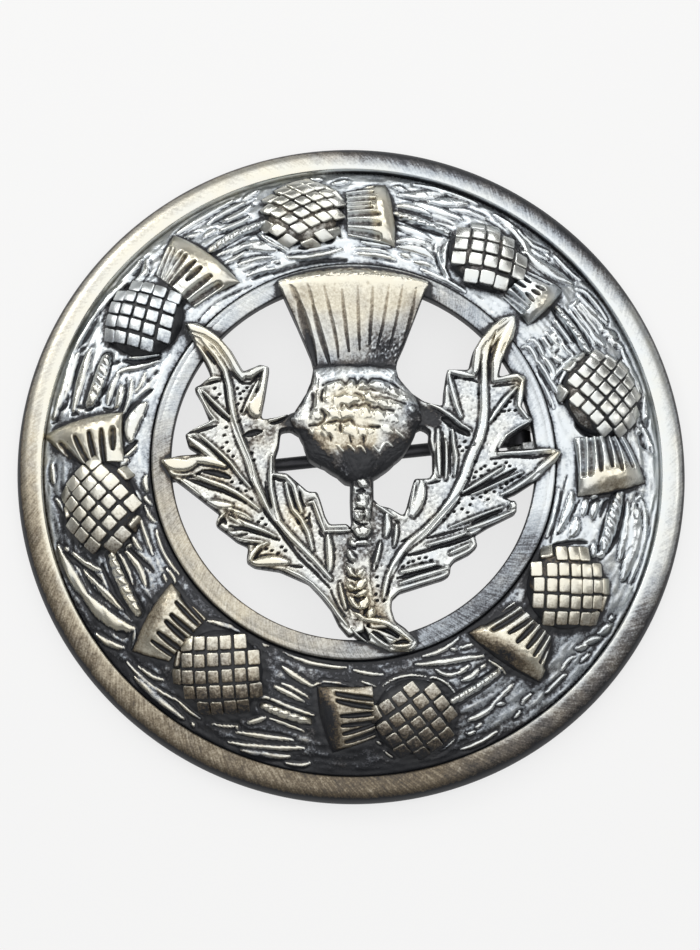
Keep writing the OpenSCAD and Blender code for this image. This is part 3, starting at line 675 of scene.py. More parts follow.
# Ring crowns: points each way, bow of the open end in degrees, reach past the charted end, and crest,
# where the top begins to fall off and the grooves end
CROWN_NET = 84
CROWN_BOW = 0.4
CROWN_REACH = 1.14
CROWN_CREST = 0.74
# Grooves that begin within so many degrees of the neck run past it by so many millimetres
NECK_NEAR = 3.0
NECK_RUN = 1.3
# Height at the neck, rise and the share of the length that it takes, and rounding of sides and end
CROWN_LOW = 1.0
CROWN_RISE = 0.75
CROWN_RISE_RUN = 0.75
CROWN_SIDES = 2.6
CROWN_END = 2.2


def crown_height(s, t):
    """Height of a ring crown over the band, from its neck s = 0 to its open end, which falls off roundly."""
    across = np.clip(1 - np.abs(2 * t - 1) ** CROWN_SIDES, 0, 1) ** 0.5
    rise = CROWN_LOW + CROWN_RISE * ramp(s, 0, CROWN_RISE_RUN)
    fall = ramp(s, CROWN_CREST, CROWN_REACH - CROWN_CREST)
    return rise * across * np.sqrt(1 - fall ** CROWN_END)


def make_ring_crown(row, seed):
    start, inner, outer, out_a, out_r, in_a, in_r, grooves = row
    s, t = net_of(np.linspace(0, CROWN_REACH, CROWN_NET), np.linspace(0, 1, CROWN_NET))
    bow = 4 * t * (1 - t) * CROWN_BOW
    a_end = in_a + (out_a - in_a) * t
    r_end = in_r + (out_r - in_r) * t
    r_start = inner + (outer - inner) * t
    angle = start + (a_end - start) * s - bow * s * s
    radius = r_start + (r_end - r_start) * s
    relief = Relief(angle * ARC * MIDDLE_R, radius)
    for a0, r0, a1, r1, half in grooves:
        line = np.array([[a0 * ARC * MIDDLE_R, r0], [a1 * ARC * MIDDLE_R, r1]])
        if abs(a0 - start) < NECK_NEAR:
            back = line[0] - line[1]
            line[0] += back * NECK_RUN / np.hypot(*back)
        relief.add_cut(line, grown_by(FLUTE_HALF, half), grown_by(FLUTE_DEPTH, half), pointed=0.4)
    plain = ramp(s, CROWN_CREST, 0.08)
    z = ground(radius) + crown_height(s, t) + relief.cut * (1 - plain) + 0.03 * grain(s.shape, 2, 2, seed)
    x, y = polar(angle, radius)
    return lofted(with_underside(np.stack([x, y, z], 2), ground(radius[:, [-1, 0]]) - SINK))


# Node trees for shapes and finishes are written as expressions on this class
class Value:
    """An output in a node tree. Sums on it add Math nodes; any other node comes from node()."""

    def __init__(self, tree, socket):
        self.tree = tree
        self.socket = socket

    def node(self, kind, settings=None, sockets=None, output=0):
        return add_node(self.tree, kind, settings, sockets, output)

    def math(self, operation, *values):
        return self.node("ShaderNodeMath", {"operation": operation}, dict(enumerate(values)))

    def __add__(self, other):
        return self.math("ADD", self, other)

    def __radd__(self, other):
        return self.math("ADD", other, self)

    def __sub__(self, other):
        return self.math("SUBTRACT", self, other)

    def __rsub__(self, other):
        return self.math("SUBTRACT", other, self)

    def __mul__(self, other):
        return self.math("MULTIPLY", self, other)

    def __truediv__(self, other):
        return self.math("DIVIDE", self, other)

    def __pow__(self, other):
        return self.math("POWER", self, other)

    def limited(self):
        return self.node("ShaderNodeClamp", {}, {0: self})


def add_node(tree, kind, settings=None, sockets=None, output=0):
    node = tree.nodes.new(kind)
    for key, value in (settings or {}).items():
        if key == "stops":
            set_stops(node.color_ramp.elements, value)
        else:
            setattr(node, key, value)
    for key, value in (sockets or {}).items():
        if isinstance(value, Value):
            tree.links.new(value.socket, node.inputs[key])
        else:
            node.inputs[key].default_value = value
    return Value(tree, node.outputs[output])


def set_stops(elements, stops):
    """Colours of a ramp, each at its place."""
    while len(elements) > 1:
        elements.remove(elements[-1])
    for k, (place, colour) in enumerate(stops):
        stop = elements[0] if k == 0 else elements.new(place)
        stop.position = place
        stop.color = (*colour, 1)


def combine(tree, x, y, z):
    return add_node(tree, "ShaderNodeCombineXYZ", {}, {0: x, 1: y, 2: z})


def separate(vector):
    node = vector.node("ShaderNodeSeparateXYZ", {}, {0: vector}).socket.node
    return [Value(vector.tree, s) for s in node.outputs]


def vector_sum(a, b):
    return a.node("ShaderNodeVectorMath", {"operation": "ADD"}, {0: a, 1: b})


# Studs of a ring thistle: a net of rounded tiles over a dome. Fields and their first values:
STUD_FIELDS = [
    ("Pitch", 1.5), ("Pitch Along", 1.5), ("Turn", 0.0), ("Place X", 0.0), ("Place Y", 0.0), ("Lean", 0.0),
    ("Worn X", 9.0), ("Worn Y", 9.0), ("Middle X", 0.0), ("Middle Y", 0.0), ("Half Length", 4.6),
    ("Half Width", 4.0), ("Dome", 2.0), ("Stud Height", 0.46), ("Unevenness", 0.07),
]
# How many of the fields are columns of a thistle's row
ROW_FIELDS = 8
STUD_COUNT = 15
STUD_EDGE = 8
# How far past the dome's outline, which is 1, studs still stand
STUD_REACH = 1.06
# The tile: crowding of its lines towards the edge, rounding of its corners and its top, and its skirt
EDGE_CROWDING = 0.17
CORNER_ROUND = 0.24
TOP_ROUND = 0.32
SKIRT_SHARP = 14
SKIRT_DEPTH = 0.2
# Smallest and largest stud, and how much studs grow down the dome and where they are worn together
STUD_SIZES = (0.95, 1.02)
SIDE_GROWTH = 0.1
FOOT_GROWTH = 0.15
WORN_GROWTH = 0.2
WORN_FALL = 0.35


def new_tree(name, fields, first_seed):
    tree = bpy.data.node_groups.new(name, "GeometryNodeTree")
    tree.is_modifier = True
    tree.interface.new_socket(name="Geometry", in_out="OUTPUT", socket_type="NodeSocketGeometry")
    for field, default in fields:
        socket = tree.interface.new_socket(name=field, in_out="INPUT", socket_type="NodeSocketFloat")
        socket.default_value = default
    seed = tree.interface.new_socket(name="Seed", in_out="INPUT", socket_type="NodeSocketInt")
    seed.default_value = first_seed
    tree.interface.new_socket(name="Material", in_out="INPUT", socket_type="NodeSocketMaterial")
    group = tree.nodes.new("NodeGroupInput")
    return tree, {s.name: Value(tree, s) for s in group.outputs if s.name}


def stud_tree():
    tree, v = new_tree("stud_net", STUD_FIELDS, SEED["bulb_studs"])
    span = STUD_COUNT - 1
    net = add_node(tree, "GeometryNodeMeshGrid", {}, {
        "Size X": v["Pitch"] * span, "Size Y": v["Pitch Along"] * span,
        "Vertices X": STUD_COUNT, "Vertices Y": STUD_COUNT})
    place = add_node(tree, "GeometryNodeInputPosition")
    jitter = v["Unevenness"]
    wobble = add_node(tree, "FunctionNodeRandomValue", {"data_type": "FLOAT_VECTOR"}, {
        0: combine(tree, jitter * -1, jitter * -1, 0.0), 1: combine(tree, jitter, jitter, 0.0),
        "Seed": v["Seed"]})
    net_x, net_y, _ = separate(vector_sum(place, wobble))
    turned = add_node(tree, "ShaderNodeVectorRotate", {"rotation_type": "Z_AXIS"}, {
        "Vector": combine(tree, net_x + net_y * v["Lean"], net_y, 0.0), "Angle": v["Turn"]})
    moved = vector_sum(turned, combine(tree, v["Place X"], v["Place Y"], 0.0))
    laid = add_node(tree, "GeometryNodeSetPosition", {}, {"Geometry": net, "Position": moved})
    x, y, _ = separate(add_node(tree, "GeometryNodeInputPosition"))
    across = (x - v["Middle X"]) / v["Half Length"]
    up = (y - v["Middle Y"]) / v["Half Width"]
    rho = across * across + up * up
    outside = rho.node("FunctionNodeCompare", {"data_type": "FLOAT", "operation": "GREATER_THAN"}, {
        0: rho, 1: STUD_REACH})
    kept = add_node(tree, "GeometryNodeDeleteGeometry", {"domain": "POINT", "mode": "ALL"}, {
        "Geometry": laid, "Selection": outside})
    crest = rho.math("MAXIMUM", 1 - rho ** DOME_FALL, 0.0)
    height = v["Dome"] * crest ** DOME_ROUND
    domed = add_node(tree, "GeometryNodeSetPosition", {}, {
        "Geometry": kept, "Position": combine(tree, x, y, height - DOME_DROP)})
    slope = v["Dome"] * v["Dome"] / 1.6
    normal = combine(
        tree, across / v["Half Length"] * slope, up / v["Half Width"] * slope, height + 0.3)
    # One stud: a small net whose edge is drawn down and whose corners are rounded
    tile = add_node(tree, "GeometryNodeMeshGrid", {}, {
        "Size X": 2.0, "Size Y": 2.0, "Vertices X": STUD_EDGE, "Vertices Y": STUD_EDGE})
    tx, ty, _ = separate(add_node(tree, "GeometryNodeInputPosition"))
    # The net's lines crowd towards the edge, so that the top stays flat and falls off sharply
    ax, ay = tx.math("ABSOLUTE", tx), ty.math("ABSOLUTE", ty)
    far = tx.math("MAXIMUM", ax, ay)
    sx = tx.math("SIGN", tx) * ax ** EDGE_CROWDING
    sy = ty.math("SIGN", ty) * ay ** EDGE_CROWDING
    edge = far ** EDGE_CROWDING
    corner = (sx * sx) * (sy * sy) * CORNER_ROUND
    half_x = v["Pitch"] * 0.5 * (1 - corner)
    half_y = v["Pitch Along"] * 0.5 * (1 - corner)
    skirt = v["Stud Height"] * (1 - edge * edge * TOP_ROUND)
    skirt = skirt - far ** SKIRT_SHARP * (v["Stud Height"] + SKIRT_DEPTH)
    tile = add_node(tree, "GeometryNodeSetPosition", {}, {
        "Geometry": tile,
        "Position": combine(tree, sx * half_x + sy * half_y * v["Lean"], sy * half_y, skirt)})
    twist = add_node(tree, "FunctionNodeEulerToRotation", {}, {0: combine(tree, 0.0, 0.0, v["Turn"])})
    facing = add_node(tree, "FunctionNodeAlignRotationToVector", {"axis": "Z"}, {
        "Rotation": twist, "Vector": normal})
    size = add_node(tree, "FunctionNodeRandomValue", {"data_type": "FLOAT"}, {
        2: STUD_SIZES[0], 3: STUD_SIZES[1], "Seed": v["Seed"]}, 1)
    # Studs are larger where the dome is steep, and run together where it is worn
    from_x, from_y = x - v["Worn X"], y - v["Worn Y"]
    worn = (1 - (from_x * from_x + from_y * from_y) * WORN_FALL).limited()
    size = size * (1 + rho * SIDE_GROWTH + rho ** 4 * FOOT_GROWTH) * (1 + worn * WORN_GROWTH)
    studs = add_node(tree, "GeometryNodeInstanceOnPoints", {}, {
        "Points": domed, "Instance": tile, "Rotation": facing, "Scale": combine(tree, size, size, size)})
    real = add_node(tree, "GeometryNodeRealizeInstances", {}, {"Geometry": studs})
    done = add_node(tree, "GeometryNodeSetMaterial", {}, {"Geometry": real, "Material": v["Material"]})
    out = tree.nodes.new("NodeGroupOutput")
    tree.links.new(done.socket, out.inputs[0])
    return tree


def read(items, key, width=1, kind=float):
    """One property of all items of a mesh, in rows where it has more than one number."""
    values = np.zeros(len(items) * width, kind)
    items.foreach_get(key, values)
    return values.reshape(-1, width) if width > 1 else values


def evaluated_mesh(thing):
    """Plain mesh of an object as its modifier leaves it."""
    bpy.context.view_layer.update()
    return bpy.data.meshes.new_from_object(thing.evaluated_get(bpy.context.evaluated_depsgraph_get()))


def grown(tree, settings, metal):
    """Plain mesh that a node tree makes with these inputs, as points in millimetres and faces."""
    holder = put("grown", bpy.data.meshes.new("grown"))
    modifier = holder.modifiers.new("shape", "NODES")
    modifier.node_group = tree
    for item in tree.interface.items_tree:
        if item.in_out == "INPUT" and item.name in settings:
            modifier[item.identifier] = settings[item.name]
        elif item.in_out == "INPUT" and item.name == "Material":
            modifier[item.identifier] = metal
    result = evaluated_mesh(holder)
    points = read(result.vertices, "co", 3)
    sizes = read(result.polygons, "loop_total", kind=int)
    loops = read(result.loops, "vertex_index", kind=int)
    starts = np.concatenate([[0], np.cumsum(sizes)[:-1]])
    faces = []
    for size in sorted(set(sizes.tolist())):
        rows = starts[sizes == size]
        faces.append(loops[rows[:, None] + np.arange(size)[None, :]])
    holder.modifiers.remove(modifier)
    bpy.data.objects.remove(holder)
    bpy.data.meshes.remove(result)
    return Shape(points, faces)


def border_loops(faces, count):
    """Closed loops along the border of a sheet, each a list of point numbers."""
    sides = np.concatenate([faces[:, [k, (k + 1) % faces.shape[1]]] for k in range(faces.shape[1])])
    border = sides[~np.isin(sides[:, 0] * count + sides[:, 1], sides[:, 1] * count + sides[:, 0])]
    follow = dict(border.tolist())
    loops = []
    while follow:
        first = next(iter(follow))
        loop = [first]
        step = follow.pop(first)
        while step != first:
            loop.append(step)
            step = follow.pop(step)
        loops.append(loop)
    return loops


def make_studs(row, seed):
    """Studs of one ring thistle, each an open sheet that gets a flat underside."""
    angle, radius, x0, x1, y0, y1 = row[:6]
    settings = {name: float(value) for (name, _), value in zip(STUD_FIELDS[:ROW_FIELDS], row[6:])}
    settings["Turn"] = math.radians(settings["Turn"])
    settings.update({
        "Middle X": (x0 + x1) / 2, "Middle Y": (y0 + y1) / 2, "Half Length": (x1 - x0) / 2,
        "Half Width": (y1 - y0) / 2, "Dome": BULB_H, "Seed": seed})
    sheets = grown(stud_net, settings, metal)
    caps = {}
    for loop in border_loops(sheets.faces[0], len(sheets.points)):
        caps.setdefault(len(loop), []).append(loop[::-1])
    return Shape(to_band(sheets.points, angle, radius), sheets.faces + list(caps.values()))


# Centre thistle and leaves: outlines run round the piece, and a line runs through its row's places
LEFT_LEAF = [
    (-19.2,15.4), (-18.4,13.9), (-17.3,12), (-16.3,9.9), (-16.1,9.1), (-17,8.4), (-18,7.9), (-17.1,6.4),
    (-16.1,4), (-17.5,3.3), (-18.9,2.6), (-18.5,1.2), (-17,.3), (-19.5,.1), (-21.7,-.4), (-20.4,-2.2),
    (-18.9,-3.3), (-16.1,-5.5), (-14.9,-6.4), (-15.4,-7.6), (-14.8,-8.1), (-14.1,-8.6), (-13,-9.5),
    (-11.7,-10.1), (-11.9,-11.8), (-11,-12.4), (-8.2,-12.8), (-5,-14.2), (-3.6,-15.7), (-2.5,-17.1),
    (-1.7,-18.8), (-.6,-20.1), (1.2,-19.6), (1.2,-14), (.6,-9), (-.8,-7.5), (-2.7,-7.6), (-3.2,-6.7),
    (-3.7,-5), (-4.1,-3.9), (-5.1,-3.9), (-5.8,-3.3), (-7.5,-1.8), (-8.7,-1.7), (-8.8,0), (-8.4,1.2),
    (-8.2,3), (-7.1,3.15), (-5.6,2.2), (-4.9,4), (-5.6,5.5), (-6.6,5.2), (-7.6,4.8), (-10.2,4.3),
    (-10.4,4.8), (-10,6.9), (-9.5,10.4), (-10.6,10.65), (-12.45,9.8), (-13.1,10.9), (-13.8,12.1),
    (-15.1,13.6), (-16.3,14.6), (-17.7,15.4),
]
RIGHT_LEAF = [
    (18.3,16.6), (18.4,15.4), (18,13.9), (17.2,12.4), (16.65,11), (16.3,9.4), (18.1,9.95), (19.4,9.5),
    (19.1,6.9), (18.8,5.9), (20.2,4.4), (17.1,2.3), (15.9,.8), (18.1,1.1), (22,1.3), (23.3,.9), (22.5,-.45),
    (20.4,-2.4), (18.1,-3.9), (16.6,-4.5), (18.1,-4.9), (18.1,-6.15), (15,-7.7), (13.4,-8.7), (13.7,-10),
    (12.8,-10.8), (11.2,-11.6), (10.7,-12.2), (10.6,-13.2), (9.9,-13.65), (7.5,-14.4), (5.95,-14.9),
    (5,-15.2), (4.2,-16), (4.1,-17), (4.5,-18.3), (5.5,-19.1), (1.6,-19.4), (.9,-14), (1.2,-9), (1.9,-4.4),
    (2.8,-5.4), (4,-5.7), (5,-6.3), (5.5,-6.55), (5.9,-5.4), (6.3,-3.8), (6.7,-2.35), (8.4,-2.3),
    (8.8,-1.6), (8.8,.4), (8.3,1.9), (8.4,3), (7.5,3.5), (6,2.6), (4.6,4), (4.2,8.6), (5.1,9.1), (6.4,7.5),
    (7.85,6.5), (9.97,6), (10.1,7.75), (10.5,10.3), (12.9,10.2), (13.4,12.3), (14.3,13.8), (15.6,15.4),
    (16.8,16.4),
]
LEFT_RAISED = [
    # half width, then x, y of each place
    (.32, -17.1,13.4, -15.5,11.5, -14.5,9.9, -14,8, -13.75,6, -13.5,4.4, -12.75,2, -11.9,0, -11.6,-1,
     -10.9,-3.25, -9.9,-5.4, -8.75,-7, -6.9,-9.1, -4.4,-11.6, -2.6,-13.7),
    (.65, -19.1,15.1, -17.25,14.2, -15.5,13.2, -14.35,11.8, -13.45,10.3, -12.6,9.1),
    (.33, -12.6,9.3, -11.6,9.4, -10.9,9.9, -10.1,10.2), (.4, -9.9,10.1, -10.1,8.6, -10.6,6.75, -10.7,5),
    (.7, -11,7, -11.1,5.5, -10.6,4.9), (.14, -10.8,8.6, -11.6,6.8, -12.4,5),
    (.25, -18.1,8.35, -16.9,8.75, -15.1,8.95), (.15, -17,7.5, -15.5,6, -13.9,4.5),
    (.15, -17.5,7.4, -16.6,5.6, -15.3,4), (.22, -18.5,3, -17.1,3.5, -15.7,4),
    (.14, -17.3,2.5, -15.75,1.15, -13.9,-.6, -12.5,-2.4, -11.5,-3.5), (.3, -18.4,2, -16.9,.9, -15.2,-.5),
    (.6, -21.2,-.6, -19.3,-1, -17.8,-.8), (.35, -18.5,-.5, -16.3,-.5, -14.4,-1.1),
    (.2, -17.9,-2.1, -16,-2.85, -14.5,-3.4, -13.1,-4.1, -11.75,-5, -10.5,-6),
    (.15, -19.2,-2.8, -18.25,-3.6, -17.1,-4.4), (.35, -16.1,-5.2, -14.75,-5.5, -13.6,-5.6),
    (.14, -15.3,-7.7, -14.7,-6.9, -14.3,-6.4), (.2, -13.9,-6, -12.75,-6.4, -11.4,-7.1),
    (.2, -13.75,-6.9, -12.1,-7.6, -10,-8.4, -8.75,-9), (.12, -13,-9.25, -11.75,-9.5, -10.1,-9.6),
    (.25, -11.7,-12, -11.2,-11, -10.5,-10.2, -9.6,-9.7), (.45, -11.2,-12.1, -9.4,-11.75, -7.4,-11.9),
    (.22, -7.5,-12.7, -6,-13.4, -4.6,-14.5, -3,-16.1, -1.9,-17.5, -.8,-18.9),
    (.18, -9.25,0, -9.3,-2, -9.25,-3.5, -8.75,-6, -7.9,-8),
    (.22, -9,-2.05, -7.6,-2.3, -6.7,-3.3, -6.3,-4.75, -5.8,-6.3),
    (.2, -7.6,-3, -7.25,-4.5, -6.75,-6, -5.9,-7, -5.1,-8.5, -4.6,-10.5),
    (.17, -5.1,-5.25, -4.5,-5.1, -4,-6.5, -3.3,-8.4), (.3, -2.9,-8.9, -2.7,-11, -2.7,-12.8),
    (.12, -3.2,-8.4, -1.8,-8.4, -.4,-8.3), (.14, -9.6,4.05, -8.5,4.35, -7.5,4.85),
    (.14, -1.6,-14.2, -1.3,-15.6, -.9,-17),
]
LEFT_SUNK = [
    # columns as above
    (.13, -18.4,14.25, -16.9,13.75, -15.5,12.75, -14.25,11, -13.5,9.5, -12.5,8.4, -11.6,8.4, -10.75,9.25),
    (.17, -11.5,-2.9, -10.6,-4.5, -9.75,-6.4, -8.75,-7.6, -7.25,-9.75, -6,-11.4, -4.4,-12.9, -2.7,-14.7),
    (.12, -14.9,9.6, -14.5,8.2, -14.3,6.5, -13.95,5, -13.25,3, -12.6,1.4, -11.6,-.9, -11.3,-2.4),
    (.17, -17.6,13, -16.5,11.75, -15.6,10.6), (.08, -2.6,-14.9, -2,-16.3, -.9,-17.9),
    (.12, -17.75,7.9, -16.5,8.25, -15.2,8.7), (.2, -16.9,7.2, -15.75,5.7, -13.95,4.05),
    (.08, -17.4,6.6, -17,5.5, -16.2,4.4), (.15, -18.7,2.6, -17.25,2.9, -15.4,3.5),
    (.08, -16.9,1.9, -15.3,.4, -13.5,-1.4),
    (.22, -18.7,-2.5, -17.25,-3, -16,-3.5, -14.5,-3.9, -13.25,-4.5, -12,-5.2),
    (.15, -20,-2.3, -18.1,-2.3, -16.9,-1.6), (.3, -16.8,-1.7, -15.3,-1.9, -13.8,-2.4),
    (.07, -13.9,-6.5, -13.2,-7, -12.3,-7.7), (.08, -12.9,-6.5, -12.3,-6.7, -11.75,-7),
    (.12, -13.7,-6.2, -13.55,-6.22, -13.4,-6.3), (.2, -13.75,-7.9, -11.75,-8.25, -10,-8.75, -8.25,-9.4),
    (.12, -14.2,-8.4, -13.4,-8.3, -12.5,-8.1), (.12, -13.4,-8.95, -12.6,-8.9, -11.8,-8.7),
    (.12, -12.5,-9.6, -11.8,-9.8, -11,-9.9), (.2, -14.9,-7.7, -14.5,-7.2, -14.2,-7.6),
    (.1, -10.9,-11.6, -10.6,-10.8, -10.1,-10.1), (.14, -7.1,-12.25, -6.4,-12.35, -5.7,-12.4),
    (.12, -9.9,-2.9, -9.4,-5.4, -8.6,-7.25), (.12, -8.9,-2.4, -8.4,-2.6, -8,-2.75),
    (.1, -7,-4, -6.7,-5, -6.6,-5.75), (.1, -10.6,8, -11.1,7.1, -11.6,6.3),
    (.12, -12.7,4.2, -12.9,4, -13,3.8), (.12, -9.3,3.8, -8.4,4, -7.6,4.5),
    (.12, -3.9,-8.4, -3.6,-8.8, -3.4,-9), (.12, -6.3,-7.2, -6.2,-7.4, -6,-7.5),
    (.1, -4.9,-6.4, -5,-7.2, -4.7,-8), (.3, -12.2,2.4, -11.3,2.7, -10.4,2.9),
    (.12, -6,-4, -5.9,-4.9, -5.4,-5.6),
]
LEFT_PITS = [
    # x, y of small black pits
    (-11.2,-.4), (-11.4,.4), (-14.3,3.3), (-14.5,2.4), (-14.2,1.6), (-14.7,1), (-14,.6), (-13.5,0),
    (-12.8,7.2), (-13,6), (-12.7,6.6), (-12.4,7.5), (-13.1,7.8), (-12,7.9), (-12.6,5.2), (-15.6,7.8),
    (-15.1,7.1), (-15.4,6.7), (-12.6,-3), (-12,-3.9), (-12.9,-3.7), (-11.4,-4.8), (-13.6,-2.9),
    (-10.6,-7.4), (-10.2,-7), (-9.8,-7.7), (-5.25,-6.9), (-9.7,-10.4), (-8.4,-10.9), (-9.1,-10.6),
    (-7.6,-10.6), (-8,-10.2),
]
RIGHT_RAISED = [
    # half width, then x, y of each place
    (.4, 17.5,15.3, 16,13.9, 15,12.75, 14.65,11, 14.6,9.25, 14.6,6.75, 14.6,5.5, 14.4,3.6, 13.9,1.9,
     13.25,.5, 12.75,-.75, 12.25,-2.25, 11,-4.75, 9.75,-6.5, 8,-8.25, 6.25,-9.6, 5.25,-10.75, 4.5,-12,
     3.75,-13.5, 3.4,-14.75, 3.25,-15.75),
    (.5, 18.1,16.4, 16,15, 14.9,13.8, 14.1,12.3, 13.75,10.5, 13.6,9.9),
    (.5, 18.1,16.2, 17.4,14.6, 16.7,13, 16.05,11, 15.8,9), (.25, 10.5,10, 11,8, 11.5,6, 12,4.75),
    (.25, 10.6,10, 12,9.65, 13.4,9.4), (.18, 8.5,6.1, 9.6,5.6, 10.75,4.9, 12,3.7, 13,3.2),
    (.22, 9.4,3.25, 9.4,.5, 9.5,-2), (.15, 11,3.6, 11.1,1.75, 11.4,0, 11.2,-2),
    (.12, 10.25,1.9, 10.3,0, 10.2,-2.4), (.25, 15.7,8.9, 17,9.2, 18.4,9.4, 19,8.9),
    (.28, 18.9,8.75, 18.6,7, 18.5,6, 19.4,4.6), (.2, 18.3,8.2, 17,6.75, 16,5.4, 15.2,4.2),
    (.14, 19.7,4.2, 18.4,3.5, 17.1,2.6, 16.25,1.2), (.16, 16,.5, 18.4,.6, 20,.75, 22,.95),
    (.33, 23,.7, 22,-.1, 20.4,-1.5), (.22, 20.4,-1.5, 18.3,-3.1, 16.3,-4.2), (.18, 16.6,-1, 15,-2.1, 12,-4),
    (.13, 18.75,-1.6, 15.5,-3.1, 13,-4.2), (.1, 16.5,-5.55, 13.75,-6.6, 10.6,-7.9),
    (.22, 18,-6, 15,-7.2, 12.5,-8.1), (.45, 17.8,-5, 17.7,-5.4, 17.5,-5.7),
    (.18, 12.4,-8.5, 10.5,-9.2, 8,-9.9), (.18, 12.75,-9.8, 11.6,-10.3, 10.6,-10.8),
    (.2, 5,-14.2, 7,-13.5, 9,-12.9, 10.4,-12.5), (.25, 5.2,-12.9, 7,-12.5, 9,-12),
    (.45, 7.5,-2.8, 7.25,-4.75, 6.5,-6.5), (.12, 6.75,-2.9, 6.45,-4.7, 6.2,-6.5),
    (.3, 3.6,-6.6, 3.7,-7.7, 3.5,-8.9), (.14, 2.5,-5.4, 3.3,-6, 4.4,-6.7),
    (.15, 2.9,-9.7, 2.6,-11, 2.2,-12.6), (.14, 4.7,-7.6, 4.6,-8.9, 4.4,-10),
]
RIGHT_SUNK = [
    # columns as above
    (.07, 14.9,13.25, 14.4,12.5, 14.2,10.75, 14.2,8.6), (.07, 17.2,16.1, 16.8,15.8, 16.4,15.4),
    (.09, 16,14.6, 15.4,12.75, 15.1,11, 15.1,8.9), (.07, 17.1,13.2, 16.8,12.6, 16.6,11.9),
    (.1, 12.4,9.1, 13.2,9, 13.9,8.75), (.1, 15.6,8.25, 16.5,8.4, 18.1,8.6),
    (.45, 10,4.5, 11.5,3.6, 12.8,2.7), (.13, 15.25,-.1, 17.75,.25, 20,.1, 22,.5),
    (.25, 18,-1.25, 16,-2.4, 13.75,-3.5, 12,-4.25), (.13, 16.4,-6, 14.75,-6.6, 13.1,-7.4),
    (.14, 12,-8, 10,-8.6, 8.1,-9.1), (.18, 10.5,-9.6, 8,-10.5, 6,-11),
    (.22, 13.4,-8.7, 11.25,-9.5, 9.5,-10.1), (.17, 4.75,-13.6, 7,-13, 9.5,-12.25),
    (.1, 8.25,-3, 8.9,-2.8, 9.6,-2.6), (.08, 4.4,-7.1, 4.7,-7.2, 5,-7.4),
    (.1, 12,-3.9, 10.75,-5.25, 9.5,-6.6, 8,-8.4, 6.25,-10, 5.25,-11.4, 4.4,-12.5, 4,-13.5, 3.75,-14.75,
     3.25,-16.25), (.08, 5.25,-9.5, 5.5,-9.4, 5.75,-9.2), (.1, 2.4,-12, 2.35,-12.3, 2.3,-12.6),
    (.08, 9.9,3, 9.95,.5, 9.9,-2), (.08, 10.7,3, 10.75,.5, 10.7,-2),
]
RIGHT_PITS = [
    # x, y of small black pits
    (12.4,1.9), (11.8,1.3), (12.6,1.2), (13.4,1.5), (12.1,.8), (11.4,9.2), (14,7.4), (14.6,-.9), (15,-1.4),
    (14.2,-1.2), (15.8,-.6), (16.3,-1), (13.6,-1.6), (17,-.5), (17.4,-.9), (12.7,-2.3), (13.4,-2.2),
    (14.2,-2), (11.6,-5.1), (12.9,-5.3), (12,-5.8), (13.2,-4.6), (14.1,-4.4), (14.9,-4.7), (14.7,-3.9),
    (15.6,-3.8), (16.4,-3.4), (17,-2.9), (17.6,-2.5), (18.4,-2.1), (10.4,-6.5), (11.1,-6.1), (9.9,-7),
    (12.6,-6.2), (5.4,-12.3), (6,-11.9), (6.5,-11.7), (7.2,-11.4), (7.9,-11.3), (8.5,-11.6), (7.5,-11.9),
    (17.8,7.1), (17.5,6.5), (17,6), (17.4,5.5), (16.6,5.4), (16.2,5), (18.1,5.5), (15.8,4.5), (20.9,.35),
    (21.4,.4), (2.5,-13.5), (2.6,-14.5), (2.4,-15.4), (2.6,-16.1), (13.5,-.4), (16.9,5.4),
]
FOOT = [
    (-.6,-19.4), (.6,-17.9), (1.6,-18), (3.6,-17.7), (5.6,-19.1), (7,-20.5), (6.9,-21.2), (6.2,-21.7),
    (4,-21.8), (1.4,-20.7), (.2,-20.2),
]
FOOT_RAISED = [
    (.32, 0,-17.9, 2,-18.3, 3.5,-18.65, 5,-19.5, 6.3,-20.6), (.14, -1.2,-18.2, 0,-19.6, 1.3,-20.7),
    (.16, 1.8,-19.8, 3,-20.8, 3.9,-21.2), (.2, 4.2,-21.1, 5.2,-21.2, 6.2,-21),
    (.2, 3.3,-20.2, 3.9,-20.5, 4.5,-20.6),
]
FOOT_SUNK = [
    (.3, 1.5,-18.9, 3.3,-19.2, 4.8,-20.1), (.45, 0,-18.5, .7,-19.4, 1.5,-20.4),
    (.2, 2.1,-19.6, 2.9,-20.1, 3.6,-20.7), (.12, 4.6,-20.8, 5.3,-20.6, 5.9,-20.7),
]

LEAF_CELL = 0.1
LEAF_MARGIN = 0.6
PIT_R = 0.15
PIT_DEPTH = 0.34
# How far in from its edge a plate's top is rounded off, and how far it falls there
EDGE_WIDTH = 0.3
EDGE_FALL = 0.5


def outline_distance(outline, x, y):
    """Distance to a closed outline, positive inside it."""
    loop = np.array(list(outline) + [outline[0]], float)
    gap = distance_to(loop, x, y)[0]
    inside = np.zeros(x.shape, bool)
    for (x0, y0), (x1, y1) in zip(loop[:-1], loop[1:]):
        if y0 == y1:
            continue
        crosses = (y0 > y) != (y1 > y)
        inside ^= crosses & (x < (x1 - x0) * (y - y0) / (y1 - y0) + x0)
    return np.where(inside, gap, -gap)


